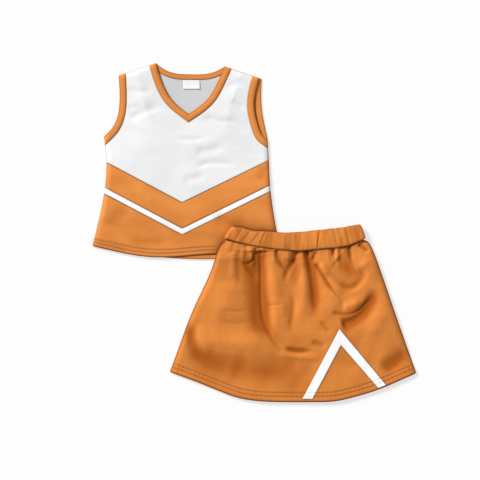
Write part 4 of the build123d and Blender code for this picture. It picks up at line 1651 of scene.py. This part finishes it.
    def front_panels(self) -> list[Piece]:
        """The front with its notch, and the godet that fills the notch."""
        feet = [nearest(line[:1], self.hem_line)[1][0] for line in self.notch_lines]
        top = self.waist(0.0, 1.0)
        meet = spaced(top, [self.split_at])[0]
        low_rows, high_rows = 84, 92
        shared = even(np.stack([self.apex, meet]), 200)
        inner = [joined(line, shared) for line in self.notch_lines]
        marks = [length_of(line) / length_of(whole) for line, whole in zip(self.notch_lines, inner)]
        plans = []
        for side, whole, mark, foot in zip(Side, inner, marks, feet):
            up = np.concatenate(
                [np.linspace(0.0, mark, low_rows), np.linspace(mark, 1.0, high_rows)[1:]]
            )
            if side is Side.LEFT:
                columns = np.linspace(0.0, 1.0, 112) ** 1.2
                hem = part_of(self.hem_line, 0.0, foot, 200)
                outer = joined(self.left_line[::-1], top[:1])
                plans.append(patch(hem, self.waist(0.0, self.split_at), outer, whole, columns, up))
            else:
                columns = 1 - (1 - np.linspace(0.0, 1.0, 74)) ** 1.2
                hem = part_of(self.hem_line, foot, 1.0, 200)
                outer = joined(self.right_line[::-1], top[-1:])
                plans.append(patch(hem, self.waist(self.split_at, 1.0), whole, outer, columns, up))
        hem = part_of(self.hem_line, *feet, 200)
        point = np.repeat(self.apex[None], 200, axis=0)
        up = np.linspace(0.0, 1.0, low_rows)
        columns = np.linspace(0.0, 1.0, 70)
        godet = patch(hem, point, *self.notch_lines, columns, up)
        shadows = self.shadows()
        below = ("skirt_back_panel_cloth",)
        held = "gathered", (*below, "waistband_casing"), 1.06
        found = {
            "skirt_front_panel": (plans, panel_cut(plans, *held)),
            "skirt_godet": ([godet], panel_cut([godet], "hung", ("skirt_front_panel_cloth",))),
        }
        return [
            Piece(
                f"{node}_cloth",
                self.solid(grids, Layer.FRONT),
                SKIRT_KNIT,
                self.body,
                (node,),
                shadows=shadows,
                fold_shading=self.fold_shading,
                cut=cut,
            )
            for node, (grids, cut) in found.items()
        ]

    def shadows(self) -> tuple[Shadow, ...]:
        """The painted shadows on the front: along its edges, its rows of thread, its waist seam and its
        deeper creases, and beside the braid.
        """
        lines = [Shadow(line, 2.2 * MM, 1.0) for line in (self.left_line, self.right_line, self.hem_line)]
        lines += [Shadow(row, 1.2 * MM, 0.5) for row in self.hem_rows(0.0, 1.0)]
        lines.append(Shadow(self.seam_line, 2.4 * MM, 0.75))
        lines += [Shadow(curve(path), width * MM, depth) for path, width, depth in SKIRT_CREASE_SHADOWS]
        for edges in self.braid_edges().values():
            lines += [Shadow(edge, 0.9 * MM, 0.75) for edge in edges]
        return tuple(lines)

    def back_panel(self) -> Piece:
        """The plain back."""
        top = self.waist(0.0, 1.0)
        left = joined(self.left_line[::-1], top[:1])
        right = joined(self.right_line[::-1], top[-1:])
        half = np.linspace(0.0, 1.0, 128)
        columns = half - 0.12 * np.sin(2 * np.pi * half) / np.pi
        plan = patch(self.hem_line, top, left, right, columns, np.linspace(0.0, 1.0, 96))
        grids = self.solid([plan], Layer.BACK)
        cut = panel_cut([plan], "gathered", ("shell_front_hem_panel_cloth", "waistband_casing"), 1.06)
        return Piece(self.back_cloth, grids, SKIRT_KNIT, self.body, ("skirt_back_panel",), cut=cut)

    def hem_rows(self, start: float, stop: float) -> list[Array]:
        """The plan lines of the hem's two rows of stitching."""
        edge = Edge(part_of(self.hem_line, start, stop, 200), True)
        return [edge.plan(np.array([depth]), 300)[:, 0] for depth in self.rows_at]

    def hems(self, layer: Layer) -> list[Piece]:
        """A layer's turned-up hem and the two rows of thread that hold it."""
        node = f"skirt_{layer.value}_hem"
        line = part_of(self.hem_line, 0.006, 0.994, 240)
        threads = []
        for row in self.hem_rows(0.012, 0.988):
            path = self.laid(row, layer, layer.sign * THREAD_LIFT)
            if layer is Layer.FRONT:
                path[:, 2] += self.braid_rise(row)
            threads += stitches(path, SKIRT_HEM_STITCH)
        panel = f"skirt_{layer.value}_panel_cloth"
        return [
            self.turned_up(f"{node}_turnup", layer, line, 230, panel, line),
            self.sewn(f"{node}_stitching", threads, ORANGE_THREAD),
        ]

    def braid_edges(self) -> dict[Side, tuple[Array, Array]]:
        """The left and right edges of the braid on each side of the notch, from foot to head."""
        found = {}
        for side, (one, other) in zip(Side, (self.notch_left, self.notch_right)):
            outer, inner = (one, other) if side is Side.LEFT else (other, one)
            lift = self.braid_lift if side is Side.LEFT else 1.5 * MM
            edges = []
            for foot, head in ((outer, self.notch_top), (inner, self.notch_inner)):
                reach = straight([head, foot], 400)
                low = nearest(reach, even(self.hem_line, 120))[0]
                stop = np.nonzero(low < lift)[0]
                edges.append(even(reach[: stop[0] if len(stop) else 400], 200)[::-1])
            found[side] = tuple(edges) if side is Side.LEFT else tuple(edges[::-1])
        return found

    def braid_rise(self, places: Array) -> Array:
        """The braid's height above the cloth: its own thickness, falling away at its two edges."""
        half = self.braid_width / 2
        to_middle = np.min([np.abs(nearest(places, even(line, 60))[0]) for line in self.notch_lines], axis=0)
        return 0.9 * MM * roll(np.maximum(half - to_middle, 0.0), 1.3 * MM)

    def braids(self) -> list[Piece]:
        """The white braid down both sides of the notch, mitred at its top."""
        pieces = []
        for side, (left, right) in self.braid_edges().items():
            across = np.linspace(0.0, 1.0, 15)
            foot = even(np.stack([left[0], right[0]]), 20)
            head = even(np.stack([left[-1], right[-1]]), 20)
            plan = patch(foot, head, left, right, across, np.linspace(0.0, 1.0, 90))
            rim = np.minimum(across, 1 - across) * self.braid_width
            rise = 0.15 * MM + 0.75 * MM * roll(rim, 1.3 * MM)
            grid = self.laid(plan, Layer.FRONT, rise)
            # Painted shadow along both edges of the braid.
            shadows = (Shadow(left, 0.8 * MM, 0.9), Shadow(right, 0.8 * MM, 0.9))
            cut = strip_cut(left, self.braid_width, "laid", ("skirt_front_panel_cloth",))
            node = f"skirt_notch_stripe_{side.value}"
            pieces.append(
                Piece(f"{node}_braid", [grid], WHITE_BRAID, self.body, (node,), 0.5 * MM, shadows, cut=cut)
            )
        return pieces

    @staticmethod
    def band_path() -> tuple[Array, Array, Array]:
        """The path of the casing round its loop: along the front, round the right end, back and round.

        Over the ends the path is a half circle whose radius is half the gap between the two layers.

        Returns:
            The share of the way from the left end at each point, how far it stands out past the ends,
            and its height above or below the loop's middle as a share of the radius.
        """
        run = np.linspace(0.0, 1.0, 250)
        turn = np.linspace(0.0, np.pi, 14)[1:-1]
        share = np.concatenate([run, np.ones(12), run[::-1], np.zeros(12)])
        out = np.concatenate([np.zeros(250), np.sin(turn), np.zeros(250), -np.sin(turn)])
        up = np.concatenate([np.ones(250), np.cos(turn), -np.ones(250), -np.cos(turn)])
        return share, out, up

    def ring(self, width_share: float, thick: float, points: int, puff: float) -> Array:
        """A band round the waist's loop with an oval section.

        The section's width direction lies from the seam line to the top line, and its thickness
        direction is the path's outward normal.

        Args:
            width_share: how much of the casing's width the band fills.
            thick: its thickness.
            points: the number of points round its section.
            puff: how strongly it is gathered, from 0 to 1.

        Returns:
            The points, a row for each step round the loop.
        """
        share, out, up = self.band_path()
        top, seam = spaced(self.top_line, share), spaced(self.seam_line, share)
        middle, half = (top + seam) / 2, (top - seam) / 2
        way = np.gradient(even((self.top_line + self.seam_line) / 2, 50), axis=0)
        way = np.where(share[:, None] > 0.5, way[-1], way[0])
        way = way / np.linalg.norm(way, axis=1, keepdims=True)
        radius = self.band_gap / 2
        base = self.support(even((self.top_line + self.seam_line) / 2, 60))
        base = np.convolve(np.pad(base, 6, mode="edge"), np.ones(13) / 13, mode="valid")
        level = np.interp(share, np.linspace(0.0, 1.0, 60), base)
        level = level + self.clearance + self.band_thick / 2 + radius
        angle = np.linspace(0.0, 2 * np.pi, points)
        u = np.cos(angle)[None, :]
        oval = np.sign(np.sin(angle)) * np.abs(np.sin(angle)) ** 0.62
        long = length_of(self.seam_line)
        front = up > 0
        height = (u + 1) / 2
        sag = np.zeros((len(share), points))
        for crease in BAND_CREASES:
            strength = np.where(front, 1.0, 0.5)[:, None]
            sag += strength * crease.shape(share[:, None], height, long)
        table = np.random.default_rng(41).uniform(-1.0, 1.0, (2, 600))
        at = share[:, None] * long / (6.5 * MM) + 0.35 * height
        whole = np.floor(at).astype(int)
        blend = smooth(at - whole)
        row = np.where(front, 0, 1)[:, None]
        waves = table[row, whole] * (1 - blend) + table[row, whole + 1] * blend
        pinch = 0.65 + 0.35 * np.abs(u) ** 2
        body = thick / 2 - puff * (sag * 1.2 + 1.2 * MM * (0.5 - 0.5 * waves) * pinch)
        reach = width_share * (1 - puff * 0.05 * (0.5 + 0.5 * waves) * (u > 0))
        turned = np.sqrt(np.maximum(1 - out**2, 0.0))[:, None]
        reach = reach * (1 - puff * 0.10 * (1 - turned))
        plan = middle[:, None] + half[:, None] * (u * reach)[..., None]
        away = radius + oval[None] * np.maximum(body, 0.3 * thick)
        plan = plan + way[:, None] * (out[:, None] * away)[..., None]
        rise = level[:, None] + np.where(up[:, None] == 0, 0.0, up[:, None]) * away
        return np.concatenate([plan, rise[..., None]], axis=2)

    @staticmethod
    def band_shading(places: Array) -> Array:
        """Random streaks across the casing, painted darker and lighter as the shade and highlight of its
        puffs.
        """
        return 0.6 * cloud(places, 7 * MM, 38, 84, 3.0)

    def band_shadows(self) -> tuple[Shadow, ...]:
        """The painted shadows on the casing: along its two edges and its deeper creases."""
        lines = [Shadow(self.seam_line, 1.7 * MM, 0.75), Shadow(self.top_line, 1.5 * MM, 0.75)]
        for crease in BAND_CREASES:
            foot = spaced(self.seam_line, [crease.at - crease.slant / 2])
            head = spaced(self.top_line, [crease.at + crease.slant / 2])
            width = 0.6 * crease.width + 0.4 * MM
            lines.append(Shadow(np.concatenate([foot, head]), width, 0.5 * crease.depth / MM))
        return tuple(lines)

    def band(self) -> list[Piece]:
        """The gathered casing and the flat elastic inside it."""
        casing = self.ring(1.0, self.band_thick, 41, 1.0)
        closed = np.concatenate([casing, casing[:1]])
        height = length_of(np.stack([self.top_line[100], self.seam_line[100]]))
        long = 2 * length_of(self.seam_line)
        elastic = self.ring(self.elastic_width / height, self.elastic_thick, 17, 0.0)
        loop = np.concatenate([elastic, elastic[:1]])
        cut = Cut(2 * height, long, "gathered", ("waist_elastic_band",))
        return [
            Piece(
                "waistband_casing",
                [closed],
                SKIRT_KNIT,
                self.body,
                ("waistband_front", "waistband_back"),
                FOLDED_CLOTH,
                self.band_shadows(),
                self.band_shading,
                cut,
            ),
            Piece("waist_elastic_band", [loop], ELASTIC, self.body, ("waist_elastic",), 0.0),
        ]

    def seams(self) -> list[Piece]:
        """The thread that closes the casing, and the allowances inside the side seams."""
        pieces = []
        for layer in Layer:
            line = part_of(self.seam_line, 0.03, 0.97, 300) - np.array([0.0, 0.8 * MM])
            path = self.laid(line, layer, layer.sign * 0.1 * MM)
            threads = stitches(path, WAIST_STITCH)
            pieces.append(self.sewn(f"waist_seam_{layer.value}", threads, ORANGE_THREAD))
        for side, line, left_hand in zip(Side, (self.left_line, self.right_line), (True, False)):
            short = Edge(part_of(line, 0.06, 0.96, 200), left_hand)
            pieces.append(self.allowance(f"skirt_side_seam_{side.value}", short, 110, SKIRT_KNIT))
        return pieces

    def pieces(self) -> list[Piece]:
        """Every piece of the skirt."""
        made = [self.back_panel(), *self.hems(Layer.BACK), *self.front_panels(), *self.hems(Layer.FRONT)]
        return made + self.braids() + self.band() + self.seams()


# The studio


@dataclass(frozen=True)
class Studio:
    """A pale floor, even soft light with one soft key, and a camera that looks straight down."""

    middle: tuple[float, float] = (-0.0243, -0.0131)
    field_width: float = 0.816
    lens: float = 100.0
    floor_size: float = 60.0
    floor_grey: float = 0.32
    floor_glow: float = 0.64
    ambient: float = 0.38
    backdrop: float = 0.98
    key: float = 4.4
    key_elevation: float = 30.0
    key_bearing: float = 140.0
    key_softness: float = 16.0

    def floor(self) -> None:
        """A pale floor that glows a little, so that it stays even."""
        edge = self.floor_size / 2
        mesh = bpy.data.meshes.new("floor")
        corners = [(-edge, -edge, 0), (edge, -edge, 0), (edge, edge, 0), (-edge, edge, 0)]
        mesh.from_pydata(corners, [], [(0, 1, 2, 3)])
        material = bpy.data.materials.new("pale_floor")
        material.use_nodes = True
        tree = material.node_tree
        shader = tree.nodes["Principled BSDF"]
        grain = tree.nodes.new("ShaderNodeTexNoise")
        grain.inputs["Scale"].default_value = 300.0
        spread = tree.nodes.new("ShaderNodeMapRange")
        spread.inputs["To Min"].default_value = 0.80
        spread.inputs["To Max"].default_value = 0.90
        tree.links.new(grain.outputs["Fac"], spread.inputs["Value"])
        tree.links.new(spread.outputs[0], shader.inputs["Roughness"])
        shader.inputs["Base Color"].default_value = (*[self.floor_grey] * 3, 1.0)
        shader.inputs["Specular IOR Level"].default_value = 0.0
        shader.inputs["Emission Color"].default_value = (1.0, 1.0, 1.0, 1.0)
        shader.inputs["Emission Strength"].default_value = self.floor_glow
        mesh.materials.append(material)
        floor = bpy.data.objects.new("floor", mesh)
        bpy.context.scene.collection.objects.link(floor)

    def lights(self) -> None:
        """An even sky that looks as pale as the floor but lights less, and a soft key."""
        world = bpy.data.worlds.new("even_sky")
        world.use_nodes = True
        tree = world.node_tree
        seen = tree.nodes.new("ShaderNodeLightPath")
        strength = tree.nodes.new("ShaderNodeMath")
        strength.operation = "MULTIPLY_ADD"
        strength.inputs[1].default_value = self.backdrop - self.ambient
        strength.inputs[2].default_value = self.ambient
        tree.links.new(seen.outputs["Is Camera Ray"], strength.inputs[0])
        tree.links.new(strength.outputs[0], tree.nodes["Background"].inputs["Strength"])
        tree.nodes["Background"].inputs["Color"].default_value = (1.0, 1.0, 1.0, 1.0)
        bpy.context.scene.world = world
        lamp = bpy.data.lights.new("key", "SUN")
        lamp.energy = self.key
        lamp.angle = np.radians(self.key_softness)
        key = bpy.data.objects.new("key", lamp)
        tilt = np.radians(90.0 - self.key_elevation)
        turn = np.radians(self.key_bearing + 90.0)
        key.rotation_euler = (tilt, 0.0, turn)
        bpy.context.scene.collection.objects.link(key)

    def camera(self) -> None:
        """A long lens straight above the middle of the set."""
        data = bpy.data.cameras.new("camera")
        data.lens = self.lens
        camera = bpy.data.objects.new("camera", data)
        distance = self.field_width * self.lens / data.sensor_width
        camera.location = (*self.middle, distance)
        bpy.context.scene.collection.objects.link(camera)
        bpy.context.scene.camera = camera

    def set_up(self) -> None:
        """Builds the stage and sets how light becomes picture."""
        bpy.context.scene.view_settings.view_transform = "Standard"
        self.camera()
        self.floor()
        self.lights()


def main() -> None:
    """Builds the set, the shell and the skirt."""
    logging.basicConfig(level=logging.INFO, format="%(name)s: %(message)s")
    Studio().set_up()
    shell = Shell()
    skirt = Skirt(shell)
    for piece in shell.pieces() + skirt.pieces():
        piece.made()


if __name__ == "__main__":
    main()
